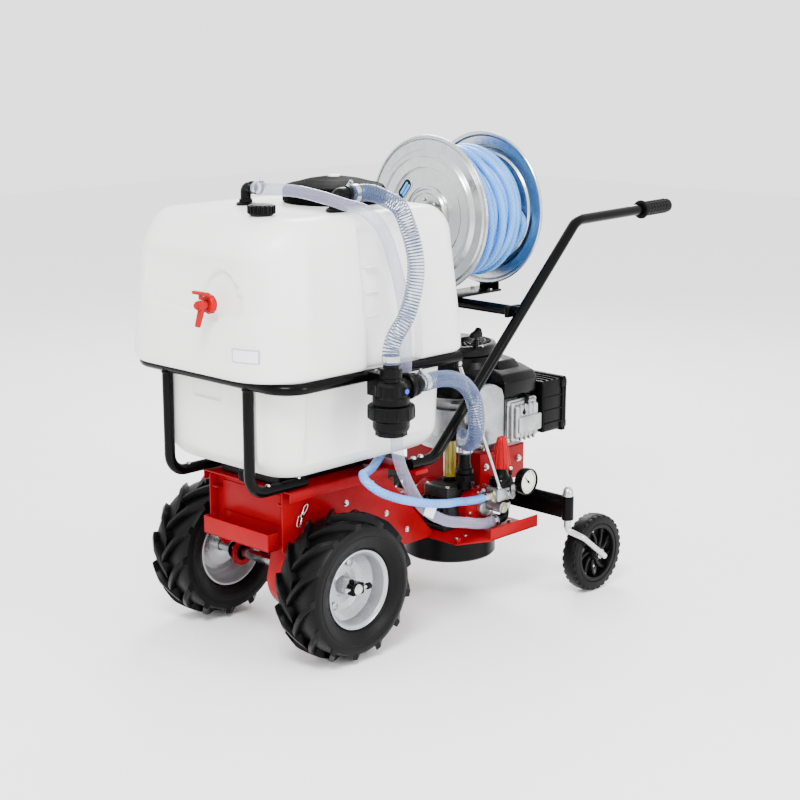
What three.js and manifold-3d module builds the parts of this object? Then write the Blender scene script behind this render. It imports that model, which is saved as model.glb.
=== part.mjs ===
// Wheeled sprayer cart: a tank on a red sheet-metal chassis with two lugged drive wheels, two casters,
// a vertical-shaft engine, a belt-driven diaphragm pump, a suction filter and a hose reel.
// Millimetres. X runs rearwards to the handlebar, Y to the machine's right, Z up, ground at Z = 0.
import * as THREE from 'three';
import { mergeVertices } from 'three/addons/utils/BufferGeometryUtils.js';
import Module from 'manifold-3d';

const wasm = await Module();
wasm.setup();

// ---------- driving dimensions ----------
const GAP = 0.4; // between pieces that touch
const HOSE_GAP = 1; // between a hose's end and its fitting
const HOSE_END = 5; // straight run at each end of a hose
const ORIGIN_X = 444.615; // the axle line to the middle of the whole length

const TYRE = { r: 170, width: 126, rimR: 92, track: 218 };
const AXLE_Z = TYRE.r;
const PLATE = 4; // chassis sheet
const SIDE_Y = 126; // outer face of a chassis side plate
const DECK_TOP = 391; // top of the chassis deck
const PAN_Z = 173; // underside of the rear pan
const PAN = { front: 380, chamferX: 460, rear: 640, halfY: 253, chamferY: 215, lip: 30 };
const RAIL = { z: 651, halfY: 258, front: -202, rear: 336, r: 12.5, bend: 60 };
const LEG_Y = 137;
const TANK = {
  front: -255, rear: 366, halfY: 270, lip: 664.2, top: 1000, round: 60, frontCorner: 70, rearCorner: 4,
};
const TANK_LOW = {
  front: -186, rear: 340, halfY: 220, bottom: 430, round: 60, frontCorner: 30, rearCorner: 4,
};
const WALL = 5;
const MOUTH = { x: 160, y: -30, r: 98, neckR: 108, neckTop: 1018 };
const HANDLE = {
  y: 225, r: 13, bend: 55, footX: 205, footZ: 411, riseX: 288, topX: 805, topZ: 922, endX: 1182, gripZ: 929,
};
const CROSSBAR = { x: 592, z: 718 };
const REEL = { x: 608.5, z: 944, r: 192, halfWidth: 110.5, coreR: 70, hoseR: 166 };
const CASTER = { x: 655, y: 335, r: 98, trail: 102, width: 40, stemTop: 264, stemBottom: 204 };
const PUMP = { x: 497, y: -85 };
const BELT_Z = 140;
const ENGINE = { x: 620, y: 0, base: 350 };
const STAY_FEET = [[514, -233, 297.5], [505, 250, 206]];
const TAP = { y: -90, z: 826 };
const REGULATOR = { y: -215, knobX: 542 };
const GAUGE = { x: 622, y: -226, z: 288, r: 34 };
const FILTER = { x: 47, y: -321 };
const SUCTION_D = 38;
const RETURN_D = 27;
const DELIVERY_D = 20;
const NEEDLE_REST = -0.75; // radians from straight up

// ---------- colours ----------
const finish = (color, roughness, metalness = 0) =>
  new THREE.MeshStandardMaterial({ color, roughness, metalness });
const RED = finish(0xc4101c, 0.35);
const BLACK_PAINT = finish(0x151517, 0.4);
const BLACK_PLASTIC = finish(0x1b1b1d, 0.55);
const RUBBER = finish(0x222224, 0.85);
const WHITE_TANK = finish(0xeeeeea, 0.45);
const ZINC = finish(0xc9ccd0, 0.3, 0.9);
const GALVANISED = finish(0xb9bdc0, 0.35, 0.85);
const RIM_GREY = finish(0x9b9da3, 0.4, 0.6);
const CAST_ALLOY = finish(0xb4b6b8, 0.45, 0.8);
const DARK_CAST = finish(0x4a4c4e, 0.6, 0.5);
const CLEAR_HOSE = finish(0xdfe3f0, 0.25);
const SPIRAL_HOSE = finish(0xa9bcd8, 0.3);
const BLUE_HOSE = finish(0x9fcdf2, 0.45);
const AMBER = finish(0xc8a030, 0.2);

// ---------- solids ----------
function toSolid(geometry) {
  const g = geometry.clone();
  g.deleteAttribute('normal');
  g.deleteAttribute('uv');
  const merged = mergeVertices(g, 1e-4);
  return new wasm.Manifold(new wasm.Mesh({
    numProp: 3,
    vertProperties: new Float32Array(merged.attributes.position.array),
    triVerts: new Uint32Array(merged.index.array),
  }));
}

function toGeometry(solid) {
  const mesh = solid.getMesh();
  const g = new THREE.BufferGeometry();
  g.setAttribute('position', new THREE.BufferAttribute(new Float32Array(mesh.vertProperties), 3));
  g.setIndex(new THREE.BufferAttribute(new Uint32Array(mesh.triVerts), 1));
  return g;
}

const join = (...parts) => toGeometry(parts.map(toSolid).reduce((a, b) => a.add(b)));
const cut = (part, ...tools) =>
  toGeometry(tools.map(toSolid).reduce((a, b) => a.subtract(b), toSolid(part)));

// A block between two opposite corners.
function block(x0, x1, y0, y1, z0, z1) {
  const g = new THREE.BoxGeometry(x1 - x0, y1 - y0, z1 - z0);
  return g.translate((x0 + x1) / 2, (y0 + y1) / 2, (z0 + z1) / 2);
}

// Turns a shape made about +Z so that its axis runs along X, Y or Z.
function along(geometry, axis) {
  if (axis === 'x') geometry.rotateY(Math.PI / 2);
  if (axis === 'y') geometry.rotateX(-Math.PI / 2);
  return geometry;
}

// A turned piece: [radius, height] points about +Z, then laid along an axis and moved.
function turned(points, axis = 'z', at = [0, 0, 0], sides = 20) {
  const profile = points.map(([r, h]) => new THREE.Vector2(r, h));
  const g = new THREE.LatheGeometry(profile, sides);
  g.rotateX(Math.PI / 2);
  return along(g, axis).translate(...at);
}

// A plain disc or rod from height a to height b.
const rod = (r, a, b, axis, at, sides = 14) =>
  turned([[0, a], [r, a], [r, b], [0, b]], axis, at, sides);

// A pipe with a bore, from height a to height b.
const pipe = (inner, outer, a, b, axis, at, sides = 20) =>
  turned([[inner, a], [outer, a], [outer, b], [inner, b], [inner, a]], axis, at, sides);

// A plate from an outline in X and Z, from y0 to y1.
function plateXZ(outline, y0, y1) {
  const shape = new THREE.Shape(outline.map(([x, z]) => new THREE.Vector2(x, z)));
  const g = new THREE.ExtrudeGeometry(shape, { depth: y1 - y0, bevelEnabled: false });
  return g.rotateX(Math.PI / 2).translate(0, y1, 0);
}

// A plate from an outline in X and Y, from z0 to z1.
function plateXY(outline, z0, z1) {
  const shape = new THREE.Shape(outline.map(([x, y]) => new THREE.Vector2(x, y)));
  const g = new THREE.ExtrudeGeometry(shape, { depth: z1 - z0, bevelEnabled: false });
  return g.translate(0, 0, z0);
}

// A rectangle with one corner radius at its x0 end and one at its x1 end.
function roundedRectangle(x0, x1, y0, y1, r0, r1) {
  const s = new THREE.Shape();
  s.moveTo(x0 + r0, y0);
  s.lineTo(x1 - r1, y0);
  s.absarc(x1 - r1, y0 + r1, r1, -Math.PI / 2, 0);
  s.absarc(x1 - r1, y1 - r1, r1, 0, Math.PI / 2);
  s.absarc(x0 + r0, y1 - r0, r0, Math.PI / 2, Math.PI);
  s.absarc(x0 + r0, y0 + r0, r0, Math.PI, 1.5 * Math.PI);
  return s;
}

// A block with rounded corners in plan and all its top and bottom edges rounded.
function pillow(x0, x1, y0, y1, z0, z1, corner, round, segments = 3, endCorner = corner) {
  const shape = roundedRectangle(x0 + round, x1 - round, y0 + round, y1 - round, corner, endCorner);
  const g = new THREE.ExtrudeGeometry(shape, {
    depth: z1 - z0 - 2 * round,
    bevelThickness: round,
    bevelSize: round,
    bevelSegments: segments,
    curveSegments: 3,
  });
  return g.translate(0, 0, z0 + round);
}

// A curve that passes through its stations one by one, so a straight run takes one step.
class StationCurve extends THREE.Curve {
  constructor(stations) {
    super();
    this.stations = stations;
  }

  getPoint(t) {
    const i = Math.min(Math.floor(t * (this.stations.length - 1) + 1e-9), this.stations.length - 2);
    return this.stations[i].clone().lerp(this.stations[i + 1], t * (this.stations.length - 1) - i);
  }

  getPointAt(u) {
    return this.getPoint(u);
  }

  getTangentAt(u) {
    const last = this.stations.length - 1;
    const i = Math.round(u * last);
    const before = this.stations[Math.max(i - 1, 0)];
    const here = this.stations[i];
    const after = this.stations[Math.min(i + 1, last)];
    const t = here.clone().sub(before).normalize().add(after.clone().sub(here).normalize());
    return t.normalize();
  }
}

function sweep(stations, r, sides) {
  const ring = [];
  for (let i = 0; i < sides; i += 1) {
    const a = (2 * Math.PI * (i + 0.5)) / sides;
    ring.push(new THREE.Vector2(r * Math.cos(a), r * Math.sin(a)));
  }
  return new THREE.ExtrudeGeometry(new THREE.Shape(ring), {
    steps: stations.length - 1,
    bevelEnabled: false,
    extrudePath: new StationCurve(stations),
  });
}

// A bent pipe: straight between its points, with each inner point rounded to the bend radius.
function bentTube(points, bend, r, sides = 8, arcSteps = 4) {
  const p = points.map((q) => new THREE.Vector3(...q));
  const stations = [p[0]];
  for (let i = 1; i < p.length - 1; i += 1) {
    const back = p[i - 1].clone().sub(p[i]).normalize();
    const on = p[i + 1].clone().sub(p[i]).normalize();
    const half = back.angleTo(on) / 2;
    const middle = back.clone().add(on).normalize();
    const centre = p[i].clone().addScaledVector(middle, bend / Math.sin(half));
    const from = p[i].clone().addScaledVector(back, bend / Math.tan(half)).sub(centre);
    const turn = Math.PI - 2 * half;
    const axle = back.clone().cross(on).normalize().negate();
    for (let k = 0; k <= arcSteps; k += 1) {
      stations.push(from.clone().applyAxisAngle(axle, (turn * k) / arcSteps).add(centre));
    }
  }
  stations.push(p[p.length - 1]);
  return sweep(stations, r, sides);
}

// A hose along a smooth curve through hand-chosen points, one ring of corners per step.
// A short straight run at both ends keeps them square to their fittings.
function hose(points, diameter, step) {
  const route = points.map((q) => new THREE.Vector3(...q));
  const curve = new THREE.CatmullRomCurve3(route, false, 'centripetal');
  const stations = curve.getSpacedPoints(Math.round(curve.getLength() / step));
  const endRun = (from, to) => from.clone().add(to.clone().sub(from).setLength(HOSE_END));
  stations.splice(1, 0, endRun(route[0], route[1]));
  stations.splice(-1, 0, endRun(route.at(-1), route.at(-2)));
  return sweep(stations, diameter / 2, 8);
}

// ---------- the assembly ----------
const cart = new THREE.Group();
cart.position.x = -ORIGIN_X;

function add(name, geometry, material) {
  const mesh = new THREE.Mesh(geometry, material);
  mesh.name = name;
  cart.add(mesh);
  return mesh;
}

const SIDES = [['left', -1], ['right', 1]];

// ---------- chassis ----------
function addChassis() {
  const outline = [
    [-99, 250], [-60, 205], [60, 205], [240, PAN_Z + PLATE + GAP], [400, PAN_Z + PLATE + GAP],
    [205, DECK_TOP - PLATE - GAP], [-99, DECK_TOP - PLATE - GAP],
  ];
  for (const [side, s] of SIDES) {
    const y0 = Math.min(s * SIDE_Y, s * (SIDE_Y - PLATE));
    const plate = plateXZ(outline, y0, y0 + PLATE);
    const axleHole = rod(24, -200, 200, 'y', [0, 0, AXLE_Z], 12);
    add(`side_plate_${side}`, cut(plate, axleHole), RED);
  }
  const handleRest = block(208, 250, -242, 242, DECK_TOP - PLATE, HANDLE.footZ - HANDLE.r - GAP);
  const deck = block(-99, 270, -150, 150, DECK_TOP - PLATE, DECK_TOP);
  add('deck_plate', join(deck, handleRest), RED);

  const inner = SIDE_Y - PLATE - GAP;
  const tray = join(
    block(-130, -74, -112, 112, 251, 255),
    block(-130, -126, -112, 112, 251, 292),
    block(-130, -99 - GAP, -112, -108, 251, 292),
    block(-130, -99 - GAP, 108, 112, 251, 292),
    block(-78, -74, -inner, inner, 251, DECK_TOP - PLATE - GAP),
  );
  add('front_tray', tray, RED);

  const pan = [
    [PAN.front, -PAN.chamferY], [PAN.chamferX, -PAN.halfY], [PAN.rear, -PAN.halfY],
    [PAN.rear, PAN.halfY], [PAN.chamferX, PAN.halfY], [PAN.front, PAN.chamferY],
  ];
  const lips = [-1, 1].map((s) => {
    const y = s * (PAN.halfY - PLATE / 2);
    return block(PAN.chamferX + 2, PAN.rear, y - PLATE / 2, y + PLATE / 2, PAN_Z, PAN_Z + PAN.lip);
  });
  const shaftHole = rod(20, -10, 20, 'z', [PUMP.x, PUMP.y, PAN_Z], 12);
  const crankSlot = rod(16, -10, 20, 'z', [ENGINE.x, ENGINE.y, PAN_Z], 12);
  const tongue = block(240, PAN.front + 5, 1 - inner, inner - 1, PAN_Z, PAN_Z + PLATE);
  const panSheet = join(plateXY(pan, PAN_Z, PAN_Z + PLATE), tongue, ...lips);
  add('rear_pan', cut(panSheet, shaftHole, crankSlot), RED);

  const stand = join(
    block(562, 735, -SIDE_Y, SIDE_Y, ENGINE.base - PLATE - GAP, ENGINE.base - GAP),
    block(562, 735, -SIDE_Y, -SIDE_Y + PLATE, 262 + GAP, ENGINE.base - GAP),
    block(562, 735, SIDE_Y - PLATE, SIDE_Y, 262 + GAP, ENGINE.base - GAP),
    block(562, 566, -SIDE_Y, SIDE_Y, PAN_Z + PLATE + GAP, ENGINE.base - GAP),
  );
  const crankHole = rod(30, -20, 20, 'z', [ENGINE.x, ENGINE.y, ENGINE.base], 16);
  add('engine_stand', cut(stand, crankHole), RED);
}

// ---------- drive: gear case, axle, wheels ----------
function addDrive() {
  const caseShape = new THREE.Shape();
  caseShape.absarc(0, AXLE_Z, 86, Math.PI, 2 * Math.PI);
  caseShape.lineTo(86, 300);
  caseShape.lineTo(-56, 300);
  const chainCase = new THREE.ExtrudeGeometry(caseShape, {
    depth: 44, bevelThickness: 5, bevelSize: 5, bevelSegments: 1, curveSegments: 8,
  });
  chainCase.rotateX(Math.PI / 2).translate(0, -56, 0);
  const bore = rod(12.5 + GAP, -200, 200, 'y', [0, 0, AXLE_Z], 16);
  add('gear_case', cut(chainCase, bore), RED);
  const hubEnd = TYRE.track + 50;
  add('axle_shaft', rod(12.5, -hubEnd, hubEnd, 'y', [0, 0, AXLE_Z], 16), ZINC);
}

function addWheel(side, s) {
  const half = TYRE.width / 2;
  const at = [0, s * TYRE.track, AXLE_Z];
  const tyre = turned([
    [TYRE.rimR, -46], [104, -58], [136, -half], [160, -57], [TYRE.r, -42],
    [TYRE.r, 42], [160, 57], [136, half], [104, 58], [TYRE.rimR, 46], [TYRE.rimR, -46],
  ], 'y', at, 24);
  add(`tyre_${side}`, tyre, RUBBER);
  const r = TYRE.rimR - GAP;
  const rim = turned([
    [20, -10], [66, -18], [r - 6, -48], [r, -48], [r, 48], [r - 6, 48],
    [66, -12], [20, 18], [13.2, 18], [13.2, -10], [20, -10],
  ], 'y', [0, 0, 0], 24);
  if (s < 0) rim.rotateZ(Math.PI);
  rim.translate(...at);
  add(`rim_${side}`, rim, RIM_GREY);
}

// ---------- casters ----------
function addCaster(side, s) {
  const stem = [CASTER.x, s * CASTER.y, 0];
  const wheelX = CASTER.x + CASTER.trail;
  const armY = s * (CASTER.y + CASTER.width / 2 + 12);
  const pin = turned([
    [0, 184], [9, 184], [9, CASTER.stemTop + 1], [14, CASTER.stemTop + 1], [14, 272], [11, 282],
    [5, 287], [0, 288],
  ], 'z', stem, 16);
  const arm = bentTube([
    [CASTER.x, s * CASTER.y, 196], [CASTER.x, s * CASTER.y, 178],
    [CASTER.x + 34, armY, 158], [wheelX, armY, CASTER.r],
  ], 12, 8, 8, 3);
  const axle = bentTube([
    [wheelX, armY + s * 7, CASTER.r], [wheelX, s * (CASTER.y - CASTER.width / 2 - 3), CASTER.r],
  ], 1, 6, 8);
  add(`caster_fork_${side}`, join(pin, arm, axle), ZINC);
  const half = CASTER.width / 2;
  const wheel = turned([
    [6.6, -half], [20, -half], [24, -7], [66, -7], [70, -half], [CASTER.r, -half + 6],
    [CASTER.r, half - 6], [70, half], [66, 7], [24, 7], [20, half], [6.6, half], [6.6, -half],
  ], 'y', [wheelX, s * CASTER.y, CASTER.r], 24);
  add(`caster_wheel_${side}`, wheel, RUBBER);
}

function addCasters() {
  const tubes = [-1, 1].map((s) =>
    rod(15, CASTER.stemBottom, CASTER.stemTop, 'z', [CASTER.x, s * CASTER.y, 0], 16));
  const bores = [-1, 1].map((s) =>
    rod(9.4, CASTER.stemBottom - 5, CASTER.stemTop + 5, 'z', [CASTER.x, s * CASTER.y, 0], 16));
  const bar = block(CASTER.x - 6, CASTER.x + 6, -CASTER.y, CASTER.y, 206, 262);
  add('caster_bar', cut(join(bar, ...tubes), ...bores), BLACK_PAINT);
  for (const [side, s] of SIDES) addCaster(side, s);
}

// ---------- tank, its frame and fittings ----------
function tankBody(inset) {
  const t = TANK;
  const low = TANK_LOW;
  const top = t.top - inset;
  const upper = pillow(t.front + inset, t.rear - inset, inset - t.halfY, t.halfY - inset,
    t.lip - t.round + inset, top, t.frontCorner, t.round, 3, t.rearCorner);
  const trimmed = cut(upper, block(-500, 500, -500, 500, 300, t.lip + inset));
  const lower = pillow(low.front + inset, low.rear - inset, inset - low.halfY, low.halfY - inset,
    low.bottom + inset, t.top - 60, low.frontCorner, low.round, 3, low.rearCorner);
  return join(trimmed, lower);
}

function addTank() {
  const mouthAt = [MOUTH.x, MOUTH.y, 0];
  const neck = rod(MOUTH.neckR, TANK.top - 20, MOUTH.neckTop, 'z', mouthAt, 24);
  const hole = rod(MOUTH.r, TANK.top - 60, MOUTH.neckTop + 5, 'z', mouthAt, 24);
  add('tank', cut(join(tankBody(0), neck), tankBody(WALL), hole), WHITE_TANK);
  const lid = turned([
    [0, 1066], [48, 1062], [92, 1051], [112, 1042], [118, 1032], [118, 1004], [111, 1004],
    [111, 1026], [0, 1026],
  ].reverse(), 'z', mouthAt, 24);
  add('tank_lid', lid, BLACK_PLASTIC);
  add('vent_cap', rod(31, TANK.top + GAP, TANK.top + 24, 'z', [-118, -96, 0], 18), BLACK_PLASTIC);
  const drainAt = [-119, -28, 0];
  add('drain_cap', rod(17, 400, TANK_LOW.bottom - GAP, 'z', drainAt, 14), BLACK_PLASTIC);
  const cushion = block(-85, 190, -100, 100, DECK_TOP + GAP, TANK_LOW.bottom - GAP);
  add('tank_cushion', cushion, RUBBER);

  const returnElbow = join(
    rod(22, TANK.top + GAP, TANK.top + 7, 'z', [-6, 84, 0], 16),
    bentTube([[-6, 84, TANK.top + 3], [-6, 84, 1041], [-6, 54, 1041]], 14, 12, 8, 3),
  );
  add('return_elbow', returnElbow, BLACK_PLASTIC);
  const suctionElbow = join(
    rod(24, TANK.top + GAP, TANK.top + 7, 'z', [45, -158, 0], 16),
    bentTube([[45, -158, TANK.top + 3], [45, -158, 1036], [84, -158, 1036]], 18, 16, 8, 3),
  );
  add('suction_elbow', suctionElbow, BLACK_PLASTIC);
}

function addTankFrame() {
  const hoop = bentTube([
    [RAIL.rear, -RAIL.halfY, RAIL.z], [RAIL.front, -RAIL.halfY, RAIL.z],
    [RAIL.front, RAIL.halfY, RAIL.z], [RAIL.rear, RAIL.halfY, RAIL.z],
  ], RAIL.bend, RAIL.r);
  const footZ = DECK_TOP + GAP + RAIL.r;
  const legs = [-1, 1].map((s) => bentTube([
    [RAIL.front, s * LEG_Y, RAIL.z], [RAIL.front, s * LEG_Y, footZ], [-40, s * LEG_Y, footZ],
  ], 42, RAIL.r));
  const stays = STAY_FEET.map((foot) => bentTube([
    [RAIL.rear - 6, Math.sign(foot[1]) * RAIL.halfY, RAIL.z], foot,
  ], 1, 4, 8));
  const filterArm = block(FILTER.x - 16, FILTER.x + 16, FILTER.y + 18 + GAP, -RAIL.halfY, 653.5, 662);
  add('tank_frame', join(hoop, ...legs, ...stays, filterArm), BLACK_PAINT);
}

function addTap() {
  const x = TANK.front;
  const at = [0, TAP.y, TAP.z];
  const body = join(
    rod(20, x - 16, x - GAP, 'x', at, 16),
    rod(11, x - 46, x - 10, 'x', at, 14),
    rod(8, -46, 0, 'z', [x - 30, at[1], at[2]], 12),
  );
  add('tap_body', body, RED);
  const lever = join(
    rod(5, at[2] + 11 + GAP, at[2] + 26, 'z', [x - 30, at[1], 0], 10),
    block(x - 36, x - 24, at[1] - 24, at[1] + 24, at[2] + 22, at[2] + 30),
  );
  add('tap_lever', lever, RED);
}

// ---------- filter ----------
function addFilter() {
  const at = [FILTER.x, FILTER.y, 0];
  const head = join(
    turned([[0, 596], [40, 596], [40, 640], [26, 650], [18, 652], [18, 684], [0, 684]], 'z', at, 18),
    rod(20, FILTER.x, FILTER.x + 88, 'x', [0, FILTER.y, 628], 16),
    rod(30, FILTER.x + 44, FILTER.x + 56, 'x', [0, FILTER.y, 628], 16),
  );
  add('filter_head', head, BLACK_PLASTIC);
  const bowl = turned([
    [0, 524], [28, 524], [38, 540], [41, 562], [54, 566], [54, 596 - GAP], [37, 596 - GAP],
    [37, 560], [34, 542], [26, 528], [0, 528],
  ], 'z', at, 18);
  add('filter_bowl', bowl, BLACK_PLASTIC);
}

// ---------- pump, regulator, gauge ----------
function addPump() {
  const floor = PAN_Z + PLATE + GAP;
  const top = 288;
  const cupAt = [PUMP.x, PUMP.y, 0];
  const inletAt = [PUMP.x - 7, -140, 0];
  const crankcase = join(
    rod(52, floor, top, 'z', cupAt, 20),
    block(PUMP.x - 70, PUMP.x + 48, PUMP.y - 46, PUMP.y + 46, floor, floor + 12),
    block(PUMP.x - 62, PUMP.x + 40, PUMP.y - 50, PUMP.y + 30, 258, top),
    rod(47, PUMP.y + 40, PUMP.y + 91, 'y', [PUMP.x + 8, 0, 232], 20),
    rod(19, 280, 340, 'z', inletAt, 16),
    rod(24, 300, 318, 'z', inletAt, 6),
    rod(15, 330, 368, 'z', inletAt, 16),
  );
  add('pump_crankcase', crankcase, DARK_CAST);
  const headY = PUMP.y - 53 - GAP;
  const headAt = [PUMP.x + 18, 0, 232];
  const head = join(
    rod(47, -176, headY, 'y', headAt, 20),
    rod(20, -190, -170, 'y', headAt, 14),
    block(PUMP.x + 15, PUMP.x + 60, -178, headY, 240, 279),
  );
  add('pump_head', head, RED);
  add('oil_cup', turned([
    [0, top + GAP], [16, top + GAP], [16, 392], [13, 392], [13, top + 4], [0, top + 4],
  ], 'z', cupAt, 18), AMBER);
  add('oil_cup_cap', rod(19, 392 + GAP, 414, 'z', cupAt, 18), BLACK_PLASTIC);
}

function addRegulator() {
  const { y, knobX } = REGULATOR;
  const knobAt = [knobX, y, 0];
  const body = join(
    block(508, 576, y - 20, y + 24, 256, 292),
    rod(14, 500, 584, 'x', [0, y, 272], 12),
    rod(10, 488, 510, 'x', [0, y, 272], 12),
    rod(15, y + 20, -190 - GAP, 'y', [530, 0, 232], 12),
    block(520, 545, y, y + 22, 228, 270),
    turned([[0, 285], [26, 285], [26, 312], [16, 322], [13, 334], [0, 334]], 'z', knobAt, 18),
    bentTube([[557, y, 262], [557, y, 206], [524, y, 206]], 14, 11, 8, 3),
  );
  add('regulator_body', body, CAST_ALLOY);
  add('pressure_knob', turned([
    [0, 334 + GAP], [20, 334 + GAP], [23, 350], [18, 384], [11, 414], [0, 418],
  ], 'z', knobAt, 12), RED);
  const lever = join(
    rod(7, y - 31, y - 20 - GAP, 'y', [knobX, 0, 276], 10),
    block(knobX - 3, knobX + 3, y - 32, y - 28, 276, 345),
  );
  add('bypass_lever', lever, ZINC);

  const gauge = [GAUGE.x, GAUGE.y, GAUGE.z];
  const bezel = cut(rod(GAUGE.r, -14, 12, 'y', gauge, 20), rod(GAUGE.r - 4, -20, -8, 'y', gauge, 20));
  const stem = rod(7, 584 + GAP, 606, 'x', [0, y, 280], 10);
  add('gauge_case', join(bezel, stem), BLACK_PLASTIC);
  const needle = join(
    block(-1.1, 1.1, -11, -10, -8, 22),
    rod(3.5, -11, -8 - GAP, 'y', [0, 0, 0], 8),
  );
  add('gauge_needle', needle.rotateY(NEEDLE_REST).translate(...gauge), BLACK_PLASTIC);
}

// ---------- belt drive under the pan ----------
// The outline round two circles whose centres lie at 0 and at the given distance along X.
function beltLoop(bigR, smallR, distance) {
  const wrap = Math.acos((bigR - smallR) / distance);
  const arc = (r, x, from, to, steps) => {
    const points = [];
    for (let i = 0; i <= steps; i += 1) {
      const a = from + ((to - from) * i) / steps;
      points.push(new THREE.Vector2(x + r * Math.cos(a), r * Math.sin(a)));
    }
    return points;
  };
  return [...arc(smallR, distance, -wrap, wrap, 6), ...arc(bigR, 0, wrap, 2 * Math.PI - wrap, 18)];
}

function addBeltDrive() {
  const pumpAt = [PUMP.x, PUMP.y, 0];
  const engineAt = [ENGINE.x, ENGINE.y, 0];
  const angle = Math.atan2(ENGINE.y - PUMP.y, ENGINE.x - PUMP.x);
  const guard = turned([
    [40, 109], [115, 109], [115, PAN_Z - GAP], [112, PAN_Z - GAP], [112, 112], [40, 112], [40, 109],
  ], 'z', [0, 0, 0], 24);
  const slot = block(60, 130, -96, 96, BELT_Z - 14, PAN_Z + 5);
  add('belt_guard', cut(guard, slot).rotateZ(angle).translate(...pumpAt), BLACK_PLASTIC);
  const groove = (r, a, b) => [
    [0, a], [r, a], [r, BELT_Z - 8], [r - 8, BELT_Z], [r, BELT_Z + 8], [r, b], [0, b],
  ];
  const pumpPulley = join(
    turned(groove(92, BELT_Z - 12, BELT_Z + 12), 'z', pumpAt, 24),
    rod(12, BELT_Z, PAN_Z + PLATE, 'z', pumpAt, 14),
  );
  add('pump_pulley', pumpPulley, DARK_CAST);
  const crankshaft = join(
    turned(groove(36, BELT_Z - 12, BELT_Z + 12), 'z', engineAt, 16),
    rod(12.5, BELT_Z, ENGINE.base + 5, 'z', engineAt, 14),
  );
  add('engine_pulley', crankshaft, DARK_CAST);

  const centres = Math.hypot(ENGINE.x - PUMP.x, ENGINE.y - PUMP.y);
  const belt = new THREE.Shape(beltLoop(94, 38, centres));
  belt.holes.push(new THREE.Path(beltLoop(89, 33.4, centres)));
  const band = new THREE.ExtrudeGeometry(belt, { depth: 8, bevelEnabled: false });
  add('drive_belt', band.translate(0, 0, BELT_Z - 4).rotateZ(angle).translate(...pumpAt), RUBBER);
}

// ---------- engine ----------
function addEngine() {
  const { x, base } = ENGINE;
  const crank = cut(join(
    turned([
      [0, base], [98, base], [98, base + 14], [84, base + 22], [84, 452], [0, 452],
    ], 'z', [x, 0, 0], 20),
    block(x + 10, x + 94, -96, 0, 372, 476),
  ), rod(13.5, base - 5, base + 60, 'z', [x, 0, 0], 14));
  add('engine_block', crank, CAST_ALLOY);
  const fins = [0, 1, 2, 3].map((i) => block(x - 10, x + 106, -118 - i * 12, -112 - i * 12, 366, 484));
  const head = join(
    block(x + 6, x + 92, -168, -96 - GAP, 378, 472),
    pillow(x + 2, x + 102, -196, -160, 374, 482, 6, 6, 1),
    ...fins,
  );
  add('cylinder_head', head, CAST_ALLOY);
  const guard = pillow(x - 142, x - 28, -180, -106, 386, 536, 14, 12, 2);
  const hosePath = block(x - 150, x - 106, -190, -100, 380, 440);
  add('muffler', cut(guard, hosePath), CAST_ALLOY);
  add('air_filter_box', pillow(x + 121, x + 218, -186, -76, 376, 518, 10, 8, 1), BLACK_PLASTIC);
  const shroud = join(
    rod(112, 484 + GAP, 588, 'z', [x, 0, 0], 20),
    block(x - 52, x + 120, -172, 0, 484 + GAP, 560),
    pillow(x - 66, x + 134, 20, 168, 470, 586, 20, 16, 1),
  );
  const cleared = cut(
    shroud,
    block(x - 150, x - 20, -205, -98, 380, 544),
    block(x + 114, x + 226, -200, -66, 370, 526),
  );
  add('blower_housing', cleared, BLACK_PLASTIC);
  const recoil = join(
    turned([
      [0, 588 + GAP], [98, 588 + GAP], [98, 606], [88, 620], [60, 630], [0, 630],
    ], 'z', [x, 0, 0], 20),
    block(x - 32, x - 24, -88, -78, 606, 640),
    pillow(x - 48, x - 8, -93, -73, 634, 662, 4, 4, 1),
  );
  add('recoil_cover', recoil, BLACK_PLASTIC);
  add('fuel_cap', rod(26, 586 + GAP, 610, 'z', [x + 30, 142, 0], 18), BLACK_PLASTIC);
}

// ---------- handlebar and reel ----------
function addHandlebar() {
  const bars = [-1, 1].map((s) => bentTube([
    [HANDLE.footX, s * HANDLE.y, HANDLE.footZ], [HANDLE.riseX, s * HANDLE.y, HANDLE.footZ],
    [HANDLE.topX, s * HANDLE.y, HANDLE.topZ], [HANDLE.endX, s * HANDLE.y, HANDLE.gripZ],
  ], HANDLE.bend, HANDLE.r));
  const cross = rod(13, -HANDLE.y, HANDLE.y, 'y', [CROSSBAR.x, 0, CROSSBAR.z], 10);
  add('handlebar', join(...bars, cross), BLACK_PAINT);
  for (const [side, s] of SIDES) {
    const grip = turned([
      [HANDLE.r + GAP, 0], [24, 0], [24, 8], [17, 12], [17, 118], [14, 122], [0, 122], [0, 119],
      [HANDLE.r + GAP, 119], [HANDLE.r + GAP, 0],
    ], 'x', [0, 0, 0], 18);
    grip.rotateY(-Math.atan2(HANDLE.gripZ - HANDLE.topZ, HANDLE.endX - HANDLE.topX));
    grip.translate(1068, s * HANDLE.y, HANDLE.gripZ - 2.1);
    add(`grip_${side}`, grip, RUBBER);
  }
}

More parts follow.
